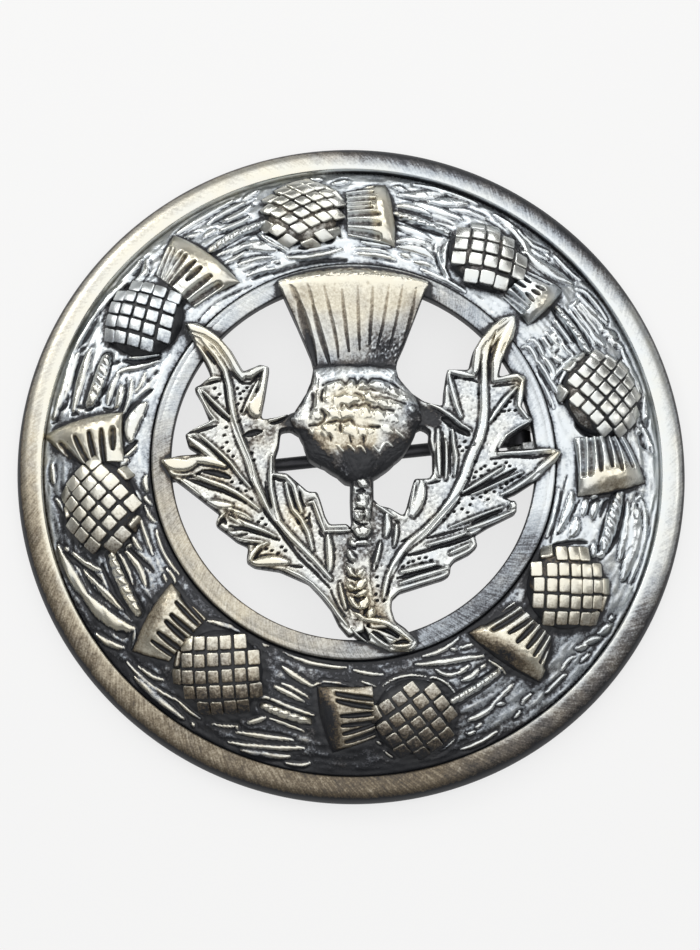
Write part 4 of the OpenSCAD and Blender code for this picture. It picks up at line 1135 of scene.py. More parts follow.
def cut_sheet(x, y, z, inside):
    """Triangles of a net where inside is positive, trimmed exactly along the line where it is zero."""
    value = inside.ravel()
    number = np.arange(x.size).reshape(x.shape)
    a, b = number[:-1, :-1].ravel(), number[1:, :-1].ravel()
    c, d = number[1:, 1:].ravel(), number[:-1, 1:].ravel()
    tri = np.concatenate([np.stack([a, b, c], 1), np.stack([a, c, d], 1)])
    state = value[tri] > 0
    count = state.sum(1)
    # Each trimmed triangle is turned so that its odd corner p comes first
    odd = []
    for wanted in (1, 2):
        part = tri[count == wanted]
        flags = state[count == wanted] == (wanted == 1)
        first = flags.argmax(1)
        k = np.arange(len(part))
        odd.append([part[k, (first + n) % 3] for n in range(3)])
    sides = [np.stack(pair, 1) for p, q, r in odd for pair in ((p, q), (r, p))]
    pairs = np.sort(np.concatenate(sides), 1)
    unique, index = np.unique(pairs[:, 0] * len(value) + pairs[:, 1], return_inverse=True)
    low, high = unique // len(value), unique % len(value)
    share = value[low] / (value[low] - value[high])
    # A crossing too near a corner would leave a sliver
    share = np.clip(share, 0.12, 0.88)[:, None]
    points = np.stack([x, y, z], 2).reshape(-1, 3)
    points = np.concatenate([points, points[low] * (1 - share) + points[high] * share])
    starts = np.cumsum([len(side) for side in sides])[:-1]
    pq1, rp1, pq2, rp2 = np.split(index.ravel() + len(value), starts)
    (p1, _, _), (_, q2, r2) = odd
    faces = np.concatenate([
        tri[count == 3], np.stack([p1, pq1, rp1], 1), np.stack([pq2, q2, r2], 1),
        np.stack([pq2, r2, rp2], 1)])
    used, compact = np.unique(faces, return_inverse=True)
    return points[used], compact.reshape(faces.shape)


def plate_solid(x, y, z, inside, low):
    """Carved top, trimmed where inside is positive, with walls down to the height low."""
    points, faces = cut_sheet(x, y, z, inside)
    all_points = [points]
    all_faces = [faces]
    start = len(points)
    for loop in border_loops(faces, len(points)):
        loop = np.array(loop)
        under = points[loop].copy()
        under[:, 2] = low
        k = np.arange(len(loop))
        k_next = (k + 1) % len(loop)
        all_points.append(under)
        all_faces.append(np.stack([loop, start + k, start + k_next, loop[k_next]], 1))
        start += len(loop)
    return Shape(np.concatenate(all_points), all_faces)


def line_of(row):
    """Places that a row runs through; three of them are taken as a curve."""
    return stroke_line(row[1:]) if len(row) == 7 else np.array(row[1:], float).reshape(-1, 2)


def carved(x, y, raised, sunk, pits=(), rise=0.34, swell=0.3, moat=0.14, widen=1.2, round_top=0.5, seam=0.0):
    """Relief of charted lines and pits on a net; seam is how deep the wide hollow along each cut is."""
    relief = Relief(x, y)
    for row in raised:
        half = row[0] * widen + 0.04
        relief.add_ridge(line_of(row), half, rise + swell * row[0], moat, pointed=0.5, round_top=round_top)
    for row in sunk:
        relief.add_cut(line_of(row), grown_by(LINE_HALF, row[0]), grown_by(LINE_DEPTH, row[0]))
        if seam:
            relief.add_cut(line_of(row), grown_by(SEAM_HALF, row[0]), seam * min(row[0] / 0.1, 1))
    for px, py in pits:
        across = np.array([[px - 0.06, py - 0.03], [px + 0.06, py + 0.03]])
        relief.add_cut(across, PIT_R, PIT_DEPTH, pointed=0.2)
    note_rubbed(x, y, relief)
    return relief


def plate_net(outline, blur):
    """Places over a plate, and how far inside its outline each of them is."""
    x0, y0 = np.min(outline, 0) - LEAF_MARGIN
    x1, y1 = np.max(outline, 0) + LEAF_MARGIN
    x, y = net_of(np.arange(x0, x1, LEAF_CELL), np.arange(y0, y1, LEAF_CELL))
    return x, y, blurred(outline_distance(outline, x, y), blur, blur)


# Leaves: hem along the edge, hollow inside it, stipple, and the ridge that quiets it
HEM_HEIGHT = 0.14
HEM_AT = 0.4
HEM_WIDTH = 0.3
HOLLOW_DEPTH = 0.16
HOLLOW_RUN = 1.2
STIPPLE = 0.06
STIPPLE_FROM = 0.5
STIPPLE_RUN = 0.4
QUIET_RIDGE = 0.15
QUIET_LEAST = 0.12


def make_leaf(name, outline, raised, sunk, pits):
    x, y, inside = plate_net(outline, 1.8)
    relief = carved(x, y, raised, sunk, pits)
    edge = np.clip(inside, 0, None)
    hem = HEM_HEIGHT * np.exp(-((edge - HEM_AT) / HEM_WIDTH) ** 2)
    hollow = HOLLOW_DEPTH * ramp(edge, 0, HOLLOW_RUN)
    round_off = EDGE_FALL * np.clip(1 - edge / EDGE_WIDTH, 0, 1) ** 2
    stipple = grain(x.shape, 0.9, 0.9, SEED[name]) * STIPPLE * ramp(edge, STIPPLE_FROM, STIPPLE_RUN)
    quiet = np.clip(1 - relief.ridge / QUIET_RIDGE, QUIET_LEAST, 1)
    z = PLATE_TOP + relief.height(hem) - hollow - round_off + stipple * quiet
    return plate_solid(x, y, z, inside, UNDERSIDE[name])


def make_foot():
    x, y, inside = plate_net(FOOT, 1.6)
    relief = carved(x, y, FOOT_RAISED, FOOT_SUNK, rise=0.5)
    round_off = EDGE_FALL * np.clip(1 - np.clip(inside, 0, None) / EDGE_WIDTH, 0, 1) ** 2
    stipple = 0.03 * grain(x.shape, 1.2, 1.2, SEED["foot"])
    z = PLATE_TOP + relief.ridge + 1.3 * relief.cut - round_off + stipple
    return plate_solid(x, y, z, inside, UNDERSIDE["foot"])


CROWN_EDGES = [
    # along y, left x, right x, height of the top
    (7.9, -5, 5.2, 6.1), (8.4, -4.9, 5.1, 6.85), (8.9, -4.8, 4.95, 7.05), (9.5, -4.7, 4.85, 7.05),
    (10.1, -4.62, 4.75, 6.9), (10.4, -4.6, 4.75, 6.8), (11.4, -4.85, 4.95, 6.95), (13.1, -5.55, 5.7, 7.2),
    (15.1, -6.4, 6.45, 7.55), (17.2, -7.35, 7.25, 7.9), (19, -8.15, 7.9, 8.2), (19.9, -8.55, 8.25, 8.28),
    (20.4, -8.6, 8.4, 8.25),
]
CROWN_SUNK = [
    # half width, then x, y of each place
    (.3, -7.3,19.7, -6.7,18.5, -6.2,17.5), (.5, -6.3,17.7, -5.3,14, -4.4,10.6),
    (.13, -5.35,19.7, -4.9,18.2, -4.6,17), (.27, -4.7,17.2, -4,14.5, -3.2,12, -2.8,10.7),
    (.14, -3.45,19.3, -2.9,17, -2.3,14.5, -1.9,12.5, -1.8,11.3),
    (.17, -1.45,18.9, -1.2,16.5, -.9,14, -.6,12), (.14, .35,19.3, .4,16.5, .5,14, .6,12.2),
    (.16, 2.05,19.3, 1.95,17, 1.8,15, 1.7,12.8), (.13, 3.9,19.6, 3.6,17.5, 3.2,15, 2.6,12.6),
    (.12, 5.45,19.6, 5.1,17.5, 4.6,15, 3.9,12.3), (.17, 7,19.4, 6.6,17, 6,14.5, 5.3,12, 4.7,10.8),
    (.1, 1.45,19.9, 1.5,19.7, 1.5,19.5), (.1, 7.9,18.2, 7.2,15.8, 6.5,13.9),
    (.12, -3.6,10.25, -2.4,10.4, -1.5,10.1, -.6,10.4, .6,10.2, 1.6,10.4, 3,10.2, 4.2,10.4),
    (.1, -4.2,9.9, -4.1,9.2, -4.2,8.4),
]
# Centre crown: points across and along, where its open end begins, and the rows of that end
FLUTE_COLUMNS = 190
FLUTE_ROWS = 144
FACE_ROWS = 26
FACE_FROM = 20.3
FACE_TO = 22.0
# Bow of its open end, and fall of its sides
BOW_FROM = 19.2
BOW_RUN = 2.8
BOW = 1.21
SIDE_FALL = 0.62
SIDE_POWER = 2.4
SIDE_STEP = 0.25
# Depth of the flutes, where it lessens, over what length and how far, and fall of the face
FLUTE_SHARE = 0.42
FLUTE_FADE = (24, 10, 0.45)
FACE_FALL_FROM = 20.55
FACE_FALL_RUN = 1.45
FACE_FALL = 1.9
# Roughness all over, of the face, and of the worn place near the neck
CROWN_ROUGH = (0.015, 0.09, 0.07)


def make_centre_crown():
    """Fluted crown: flutes run from the neck to a plain band at the open end, whose face is rough."""
    edges = np.array(CROWN_EDGES, float)
    y_line = np.concatenate([
        np.linspace(edges[0, 0], FACE_FROM, FLUTE_ROWS), np.linspace(FACE_FROM + 0.08, FACE_TO, FACE_ROWS)])
    yy, tt = net_of(y_line, np.linspace(0, 1, FLUTE_COLUMNS))
    left, right, top = [np.interp(yy, edges[:, 0], edges[:, k]) for k in (1, 2, 3)]
    x = left + (right - left) * tt
    bow = 4 * tt * (1 - tt)
    y = yy - ramp(yy, BOW_FROM, BOW_RUN) * BOW * (1 - bow)
    across = 1 - SIDE_FALL * np.abs(2 * tt - 1) ** SIDE_POWER
    z = PLATE_TOP + (top - PLATE_TOP) * across
    z = np.where(tt * (1 - tt) < 1e-9, z - SIDE_STEP, z)
    flutes = carved(x, yy, [], CROWN_SUNK).cut
    fade_from, fade_run, least = FLUTE_FADE
    face = ramp(yy, FACE_FALL_FROM, FACE_FALL_RUN)
    z = z + FLUTE_SHARE * flutes * np.clip((fade_from - yy) / fade_run, least, 1) - FACE_FALL * face ** 1.5
    worn = ramp(yy, 14.8, -2) * ramp(x, 0.2, 2) * ramp(yy, 10.8, 0.6)
    rough = CROWN_ROUGH[0] + CROWN_ROUGH[1] * (face > 0) + CROWN_ROUGH[2] * worn
    z = z + grain(x.shape, 1.3, 1.6, SEED["centre_crown"]) * rough
    return lofted(with_underside(np.stack([x, y, z], 2), UNDERSIDE["centre_crown"]))


# Centre bulb: its outline, its scales and the grooves between them
BULB_MIDDLE = (0.35, 3.1)
BULB_OUTLINE = [
    (-4.9,8.4), (-5.4,7.2), (-6,6.2), (-6.7,5.1), (-7.2,4.2), (-6.9,3.2), (-6.2,2.6), (-5.7,1.6), (-5.4,.6),
    (-5,-.3), (-3.3,-1.2), (-1.9,-2.1), (-1,-2.9), (.6,-3.1), (2,-2.5), (3.1,-1.8), (4.5,-.6), (5.4,.2),
    (6.1,1.3), (6.6,2.2), (7,3.2), (7.6,4.2), (7.4,5.6), (7,6.6), (6.4,7.4), (5.5,8.3), (4.95,9.2),
    (4.75,10), (2.8,10.35), (.3,10.4), (-2.5,10.35), (-4.6,10), (-4.75,9.2),
]
BULB_RAISED = [
    # half width, then x, y of each place
    (.55, -3,7.6, -2.1,7.85, -1.3,7.8), (.5, -.7,7.9, -.35,8, 0,7.9), (.5, .6,7.95, .85,8, 1.1,7.9),
    (.5, 1.9,8, 2.6,7.95, 3.3,7.7), (.42, 4,7.3, 4.4,7.1, 4.7,6.8), (.62, -3,6.1, -1,6.4, .2,6.3),
    (.5, 1.1,6.5, 1.6,6.4, 2.1,6.1), (.45, 2.4,6, 3.2,5.85, 4,5.7), (.4, 4.6,5.6, 4.9,5.5, 5.1,5.4),
    (.75, -4.6,4.3, -4.3,4.4, -4,4.3), (.7, -2.7,4.7, -1.5,4.6, -.3,4.5), (.6, .5,4.9, 1,4.7, 1.6,4.4),
    (.55, 2,4.6, 2.8,4.4, 3.4,4), (.45, 3.9,4.3, 4.3,4.1, 4.6,3.8), (.75, -3.3,2.4, -2.9,2.7, -2.4,3),
    (.6, -1.2,2.7, 0,2.75, 1.8,2.6), (.4, 3,3, 3.6,2.8, 4.1,2.5), (.3, -5.5,6, -5.1,6.8, -4.8,7.3),
    (.35, -4.3,5.4, -4.2,6, -4.1,6.5), (.28, -4.1,7, -4,7.1, -3.9,7.2), (.25, 5.5,6.7, 5.6,6.6, 5.7,6.4),
    (.3, 6.2,5.4, 6.4,5.3, 6.5,5.1), (.14, 4.6,2.75, 5,2.4, 5.5,2), (.2, 5.4,3.7, 5.6,3.6, 5.7,3.4),
    (.25, -4.9,2.7, -4.8,2.6, -4.7,2.4), (.1, -2,1, -1.6,.65, -1.25,.25), (.1, -.75,1, -.3,.7, 0,.25),
    (.1, .25,.75, .75,.8, 1.25,.05), (.1, 2.1,.95, 2.4,.6, 2.75,.25), (.1, 2.75,.25, 3.1,.9, 3.5,1.4),
    (.1, 3.5,1.4, 3.9,1.2, 4.25,.9),
]
BULB_SUNK = [
    # columns as above
    (.12, -3.6,7.9, -3,8.25, -2,8.5, -1.5,8.6, -1,8, -.5,8.75, 0,8.75, .25,8.1, .75,8.75, 1.25,8.6,
     1.5,8.25, 1.9,8.75, 2.75,8.75, 3.5,8.5, 4.25,8.25, 4.9,7.8),
    (.1, -2.6,6.6, -2.3,6.85, -2,6.7, -1.7,6.8, -1.3,7.1, -.8,7, -.35,6.75, .1,6.95, .6,6.8, .9,6.4, .95,6),
    (.08, .5,7.4, 1.2,7.35, 1.8,7.5, 2.2,7.3, 2.8,7.35, 3.2,7, 3.6,7.1, 4.1,6.75, 4.75,6.5),
    (.1, 1.9,6.9, 2.2,6.5, 2.7,6.5, 3,6.7, 3.4,6.45, 4,6.5, 4.5,6.3, 5,6.1, 5.7,5.9),
    (.1, -1.9,5.3, -1.6,5.2, -1.4,5.6),
    (.12, -1,5.5, -.6,5.2, -.3,5.45, .1,5.6, .5,5.45, .9,5.7, 1.4,5.8, 1.8,5.35, 2.3,5.3, 2.7,5.45, 3.1,5,
     3.5,5.1, 4.3,5), (.04, -2.1,8.1, -2.2,7.7, -2.4,7.4), (.05, -1.05,8.1, -1.05,7.8, -1,7.5),
    (.05, .15,8.3, .2,8, .2,7.6), (.05, 1.45,8.2, 1.5,7.9, 1.55,7.6), (.04, 3,7.9, 3.15,7.6, 3.3,7.3),
    (.04, 3.9,7.9, 4,7.5, 4.1,7.1), (.04, -2.4,6.5, -2.5,6.1, -2.5,5.8), (.04, 2.4,6.3, 2.5,6, 2.5,5.7),
    (.04, 3.7,6.2, 3.8,5.9, 3.8,5.6), (.04, .75,5.2, .8,4.8, .8,4.4), (.04, 2,5, 2.05,4.7, 2.1,4.3),
    (.05, 3.5,4.9, 3.45,4.6, 3.4,4.2), (.04, -1.7,4.8, -1.7,4.5, -1.6,4.1), (.04, .3,2.9, .3,2.6, .35,2.2),
    (.04, 1.3,2.9, 1.35,2.6, 1.4,2.2), (.04, -2.8,2.2, -2.7,1.9, -2.6,1.4), (.04, -.6,2, -.5,1.7, -.4,1.3),
    (.04, .9,2, 1,1.7, 1,1.3), (.14, -3.7,5.1, -3.25,4.4, -3.5,3.7, -4,3.35, -5,3.25),
    (.15, -3.3,3.5, -2,3.75, -1.25,3.6, -.5,3.9, 0,3.3, .75,3.1, 1.75,3.1, 2.7,3.1),
    (.15, -1.55,3.5, -1.6,3, -1.5,2.5), (.12, -4.75,7, -4.6,6.1, -4.9,5),
    (.12, -3.5,7.4, -3.7,6.7, -3.6,6.1),
]
CENTRE_NET = 150
# Its rim over the leaves, its dome over that, and where the carving fades out
BULB_RIM = 0.1
BULB_DOME = 1.75
BULB_FALL = 1.2
BULB_ROUND = 0.6
BULB_FADE = 0.1


def make_centre_dome():
    """Domed bulb whose distance from its middle to its outline follows the outline's own corners."""
    corners = np.array(BULB_OUTLINE, float) - BULB_MIDDLE
    turns = np.arctan2(corners[:, 1], corners[:, 0])
    order = np.argsort(turns)
    reach = np.hypot(*corners.T)
    p, q = disc_net(CENTRE_NET)
    far = np.interp(np.arctan2(q, p), turns[order], reach[order], period=2 * math.pi)
    x = BULB_MIDDLE[0] + p * far
    y = BULB_MIDDLE[1] + q * far
    rho = np.clip(p * p + q * q, 0, 1)
    relief = carved(
        x, y, BULB_RAISED, BULB_SUNK, rise=0.16, swell=0.14, moat=0.0, widen=1.45, round_top=1.2, seam=0.16)
    dome = BULB_DOME * (1 - rho ** BULB_FALL) ** BULB_ROUND
    z = PLATE_TOP + BULB_RIM + dome + relief.height() * ramp(rho, 1, -BULB_FADE)
    z = np.where(rho > DISC_INSIDE, PLATE_TOP - 0.3, z)
    z = z + 0.03 * grain(x.shape, 1.5, 1.5, SEED["centre_dome"])
    return disc_solid(x, y, z, UNDERSIDE["centre_dome"])


STEM_ROWS = [
    # along y, middle x, half width, height over the leaves
    (-1.2, .8, 1.45, .85), (-2.6, .86, 1.3, .65), (-3.6, .86, 1.3, .75), (-4.8, .86, 1.32, .6),
    (-6.4, .8, 1.2, .75), (-7.3, .8, 1.1, .5), (-8.1, .8, 1.3, .5), (-9.2, .75, 1.25, .35),
    (-10.2, .5, 1.4, .25), (-14, .45, 1.5, .25), (-18.2, 1, 1.6, .15),
]
STEM_RAISED = [
    # half width, then x, y of each place
    (.6, .3,-8.45, .9,-8.6, 1.5,-8.4), (.28, -.8,-9.2, -.5,-9.6, 0,-10),
    (.25, -.7,-10.6, -.4,-11.2, 0,-11.5), (.22, .2,-9.8, .9,-9.7, 1.6,-9.8),
    (.3, -.8,-12.4, -.5,-13, -.1,-13.4), (.34, 1,-12.8, .7,-13.2, .3,-13.45),
    (.3, -.9,-14.3, -.5,-14.7, 0,-14.9), (.36, 1.2,-13.9, .7,-14.4, .3,-14.8),
    (.28, 1.3,-15.1, .7,-15.4, .3,-15.6), (.32, -.5,-15.8, -.2,-16.4, .3,-16.9),
    (.42, 1.3,-15.9, 1.1,-16.4, .7,-17), (.45, 2.3,-17.2, 1.9,-17.5, 1.7,-17.9),
    (.2, .1,-17.5, .8,-18, 1.5,-18.4), (.4, .5,-2.9, .9,-3.1, 1.3,-3.3), (.45, .6,-4.6, 1,-4.7, 1.4,-4.6),
    (.35, .3,-5.3, .8,-5.5, 1.3,-5.3), (.4, .1,-6.6, .4,-6.8, .8,-6.7), (.35, 1.3,-6.2, 1.5,-6.6, 1.4,-7),
]
STEM_SUNK = [
    (.15, -.4,-8.2, -.1,-8.9, .6,-9.35, 1.3,-9.25, 1.9,-8.8), (.12, -.8,-9.8, -.4,-10.2, .1,-10.4),
    (.08, -1.1,-11.2, -.6,-11.8, -.1,-12), (.14, -1.1,-12.6, -.6,-13.45, .1,-13.8, .9,-13.4, 1.1,-12.9),
    (.14, -1.2,-14.4, -.7,-15, .1,-15.25, .8,-15), (.12, .1,-15.8, .5,-16.1, 1.2,-15.8),
    (.17, -.7,-16.2, -.4,-16.9, .3,-17.35, 1,-17.5, 1.6,-17), (.1, 0,-6, .6,-5.95, 1.1,-6),
    (.12, .1,-7.4, .7,-7.7, 1.5,-7.6), (.1, .2,-4, .8,-3.9, 1.2,-4),
]
# Points along and across the stem, and how deep its sides stand in the leaves
STEM_NET = (190, 40)
STEM_SINK = 0.4
STEM_SIDES = 4
STEM_ROUND = 0.6


def make_stem():
    """Knobbly stem that turns into overlapping forked scales over the leaves."""
    rows = np.array(STEM_ROWS, float)
    y = np.linspace(rows[0, 0], rows[-1, 0], STEM_NET[0])
    middle, half, high = [np.interp(-y, -rows[:, 0], rows[:, k]) for k in (1, 2, 3)]
    t = np.linspace(-1, 1, STEM_NET[1])
    x = middle[:, None] + half[:, None] * t[None, :]
    yy = np.broadcast_to(y[:, None], x.shape)
    across = (1 - np.abs(t) ** STEM_SIDES) ** STEM_ROUND
    relief = carved(x, yy, STEM_RAISED, STEM_SUNK, rise=0.3, moat=0.12)
    z = PLATE_TOP - STEM_SINK + (high[:, None] + STEM_SINK) * across[None, :]
    z = z + relief.height() * np.sqrt(across)[None, :]
    z = z + 0.06 * grain(z.shape, 1.4, 1.4, SEED["centre_stem"])
    return lofted(with_underside(np.stack([x, yy, z], 2), UNDERSIDE["centre_stem"]))


# Bracket and catch behind the ring, in the pin's own frame: X along the pin, Z up
PIN_Y = 0.94
PIN_TURN = math.radians(6.5)
PIN_H = 1.9
EYE_AT = 19.0
CHEEK_R = 1.45
CHEEK_T = 1.0
CHEEK_LOW = PIN_H - CHEEK_R
HALF_GAP = 0.92
CHEEK_END = 23.8
BLOCK_FROM = 21.2
BRACKET_TOP = 4.8
CATCH_AT = -24.4
CATCH_L = 2.4
CATCH_W = 3.6
CATCH_LOW = 0.7
SLOT_R = 0.9
CAST_ROUND = 0.12


def to_pin_line(points):
    c, s = math.cos(PIN_TURN), math.sin(PIN_TURN)
    x, y, z = points.T
    return np.stack([x * c - y * s, PIN_Y + x * s + y * c, z], 1)


def bar_of(outline, start, end, axis):
    """Straight solid of an outline, from start to end along an axis: 0 for X, 1 for Y."""
    outline = np.array(outline, float)
    rings = np.zeros((2, len(outline), 3))
    rings[:, :, axis] = [[start], [end]]
    rings[:, :, 1 - axis] = outline[:, 0]
    rings[:, :, 2] = outline[:, 1]
    return lofted(rings)


def make_bracket():
    cheek = arc_points(EYE_AT, PIN_H, CHEEK_R, 90, 270, 25)
    cheek += [(CHEEK_END, CHEEK_LOW), (CHEEK_END, BRACKET_TOP), (EYE_AT, BRACKET_TOP)]
    shapes = [bar_of(cheek, sign * HALF_GAP, sign * (HALF_GAP + CHEEK_T), 1) for sign in (-1, 1)]
    block = [
        (BLOCK_FROM, CHEEK_LOW), (CHEEK_END, CHEEK_LOW), (CHEEK_END, BRACKET_TOP), (BLOCK_FROM, BRACKET_TOP)]
    shapes.append(bar_of(block, -HALF_GAP - 0.2, HALF_GAP + 0.2, 1))
    half = CATCH_W / 2
    fork = [(half, BACK_H), (half, CATCH_LOW), (SLOT_R, CATCH_LOW)]
    fork += arc_points(0, PIN_H, SLOT_R, 0, 180, 17)
    fork += [(-SLOT_R, CATCH_LOW), (-half, CATCH_LOW), (-half, BACK_H)]
    shapes.append(bar_of(fork, CATCH_AT - CATCH_L / 2, CATCH_AT + CATCH_L / 2, 0))
    shape = joined(shapes)
    shape.points = to_pin_line(shape.points)
    return shape


def soften(thing, width):
    """Rounds the sharp edges of a piece."""
    modifier = thing.modifiers.new("round", "BEVEL")
    modifier.width = width * MM
    modifier.segments = 3
    modifier.limit_method = "ANGLE"
    modifier.angle_limit = math.radians(40)
    mesh = evaluated_mesh(thing)
    thing.modifiers.remove(modifier)
    thing.data = mesh
    mesh.name = thing.name
    mesh.polygons.foreach_set("use_smooth", np.ones(len(mesh.polygons), bool))


# Heights of the whole front, for the dark of the hollows and the shine of what is rubbed
MAP_CELL = 0.1
MAP_HALF = 39.0
MAP_COUNT = int(2 * MAP_HALF / MAP_CELL)
# Points that each triangle puts on the map: every fourth of the way between its corners
MAP_SHARES = [(i / 4, j / 4, (4 - i - j) / 4) for i in range(5) for j in range(5 - i)]


def mesh_arrays(thing):
    """Points in millimetres, and triangles."""
    thing.data.calc_loop_triangles()
    return read(thing.data.vertices, "co", 3) / MM, read(thing.data.loop_triangles, "vertices", 3, int)


def map_cells(x, y):
    """Number of the cell of the map at each place."""
    i, j = [np.clip(((v + MAP_HALF) / MAP_CELL).astype(int), 0, MAP_COUNT - 1) for v in (x, y)]
    return i * MAP_COUNT + j


def height_map(things):
    field = np.full(MAP_COUNT * MAP_COUNT, -1.0)
    for thing in things:
        points, tri = mesh_arrays(thing)
        corners = points[tri]
        for w in MAP_SHARES:
            p = corners[:, 0] * w[0] + corners[:, 1] * w[1] + corners[:, 2] * w[2]
            np.maximum.at(field, map_cells(p[:, 0], p[:, 1]), p[:, 2])
    return field.reshape(MAP_COUNT, MAP_COUNT)


def soft_height(field, sigma):
    """Blurred height of the metal alone, so that its edges don't count as cliffs."""
    metal = (field > 0).astype(float)
    cells = sigma / MAP_CELL
    weight = blurred(metal, cells, cells)
    return blurred(field * metal, cells, cells) / np.maximum(weight, 0.02)


def map_value(field, points):
    u, v = np.clip((points[:, :2].T + MAP_HALF) / MAP_CELL - 0.5, 0, MAP_COUNT - 1.001)
    i, j = u.astype(int), v.astype(int)
    fu, fv = u - i, v - j
    return ((field[i, j] * (1 - fu) + field[i + 1, j] * fu) * (1 - fv)
            + (field[i, j + 1] * (1 - fu) + field[i + 1, j + 1] * fu) * fv)


def give(thing, name, values, domain="POINT"):
    attribute = thing.data.attributes.new(name, "FLOAT", domain)
    attribute.data.foreach_set("value", values.astype(np.float32))


# Faces that look down more than this are cast plain and were never rubbed
BACK_FACING = -0.3

# How much darker and warmer places are than the rest: x, y, reach, darker, warmer.
# Many rows are painted shade: under and beside the centre bulb, down its rows, under the crown and on
# the crown's flanks and rounded face. There the warmth is partly a painted brown shade and partly the
# metal's brass tone. The other rows shift the metal's tone.
TONES = [
    (.5,-1.6, 1.9, .6, .1), (-.6,-.1, .9, .3, .1), (1.4,-.1, .9, .3, .1), (-4.7,.5, 1.4, .5, .1),
    (5.2,.5, 1.5, .45, 0), (-3,-.6, 1.3, .4, 0), (3.7,-.6, 1.4, .4, 0), (-5.6,2.4, .9, .3, 0),
    (4.3,2.2, 1, .16, .3), (-6.4,4.4, .9, .2, -.3), (6.5,5.4, 1.1, .15, -.4), (-1,1.5, 1, .12, 1),
    (1.2,1.5, 1, .14, 1), (-3.2,1.7, 1, .1, 1), (-5.8,6.6, 1, .1, -.4), (-3,9.4, 1.6, .12, -.6),
    (.2,9.4, 1.6, .12, -.6), (3.4,9.4, 1.6, .14, -.6), (3.2,13, 2.2, .2, -.3), (-5.4,12, 1.6, .2, -.3),
    (-7.4,2.6, 1.6, .6, 0), (7.2,4, 1.8, .5, 0), (-.6,5.8, 3.4, -.09, .9), (-3,2.2, 1.6, .02, .9),
    (.6,2.2, 1.8, .05, .9), (-6.4,20.8, 1.6, .12, .6), (-3.2,21.8, 1.6, .12, .6), (0,22, 1.6, .12, .6),
    (3.2,21.8, 1.6, .1, .6), (6.2,21, 1.6, .06, .6), (0,18, 4, -.06, .8), (5.5,19.5, 3.2, -.04, .8),
    (-5,19.5, 3, 0, .7), (-15,-1.7, 1.5, .3, .9), (-19.5,-.8, 1.8, -.05, .8), (-11.2,2.4, 1.3, .35, .2),
    (-10.6,5.6, 1.5, -.1, .7), (-15.6,13.4, 2.6, -.04, .7), (-9.6,-11.8, 1.8, 0, .9),
    (-6.4,-6.8, 2, -.03, .7), (-13,-6.2, 2, -.03, .6), (16.5,13.6, 2.8, -.06, .8), (19,8.6, 1.2, -.03, .8),
    (22.6,.4, 1.2, -.03, .8), (1,-11, .9, .22, 0), (.2,-15.2, 2.2, -.03, .8), (2.2,-18, 1.8, 0, .8),
    (5.2,-21.2, 1, .12, 1), (9.4,4.6, 1.3, .3, 0), (12.2,2.9, 1.1, .3, 0), (3.2,-10.6, 2, .09, 0),
    (-2,-10.8, 1.6, .07, .2), (.3,-.9, 2.4, .03, -.6), (1,-2.6, 1.2, -.1, .1),
]
# Each ring thistle's crown: darker, warmer, and how much painted shade darkens its open end
CROWN_TONE = [
    (.02, .2, .2), (.02, 0, 0), (.04, .4, .28), (.09, .6, .3), (.04, .4, .26), (-.03, .3, .08),
    (-.02, .2, .14), (.02, .3, .14),
]
# Each ring thistle's bulb: darker, which paints the upper bulbs lighter and the lower ones darker as painted
# light and shade, how warm, and how much painted shade darkens its lower side and painted light lightens its
# upper side
BULB_TONE = [
    (-.32, .5, 0), (-.2, .3, 0), (-.22, .35, 0), (-.13, .85, .03), (.09, .75, 0), (.06, .85, .03),
    (-.08, .75, 0), (.01, 0, 0),
]
# Reach and tone of the painted brown shade at each ring crown's open end, and reach of the spot at its
# middle
END_SPOT = (1.9, 0.12, 0.9)
CROWN_SPOT_REACH = 3.4
for (start, inner, outer, out_a, out_r, in_a, in_r, _), (darker, warmer, _) in zip(CROWNS, CROWN_TONE):
    end_a = (out_a + in_a) / 2
    TONES.append((*polar(end_a, (out_r + in_r) / 2), *END_SPOT))
    TONES.append((*polar((start + end_a) / 2, (inner + outer) / 2), CROWN_SPOT_REACH, darker, warmer))
# How much darker each piece is than the rest
PIECE_TONE = {
    "bulb_domes": 0.4, "left_leaf": -0.17, "right_leaf": -0.17, "foot": -0.13, "centre_stem": -0.13,
    "centre_dome": -0.18, "centre_crown": 0.05,
}
# Tone of the ring by angle: angle, darker, warmer. The darker column is painted light and shade round the
# ring, darker mostly along its lower half. The warmer column is partly a painted brown sheen and partly the
# metal's brass tone.
RIM_TONE = [
    (0, -.02, .3), (30, -.01, .25), (42, .07, .1), (82, .07, .1), (95, .02, .5), (102, -.02, .7),
    (165, .03, .7), (190, .23, 1), (215, .23, 1), (285, .29, 1), (300, .3, .5), (332, .25, .2),
    (343, .04, .3), (360, -.02, .3),
]
BAND_TONE = [
    (0, -.28, -.3), (45, -.26, -.3), (90, -.32, -.2), (135, -.26, -.25), (180, -.14, .1), (215, .05, .5),
    (270, .13, .4), (315, -.09, 0), (360, -.28, -.3),
]
LIP_TONE = [
    (0, -.05, 0), (40, .08, 0), (60, .18, .2), (90, .12, .2), (110, .09, .1), (165, .1, .2), (180, .19, .5),
    (195, .14, .8), (235, .12, .9), (262, .18, .5), (290, .19, 0), (308, .24, 0), (335, .22, 0),
    (346, 0, 0), (360, -.05, 0),
]
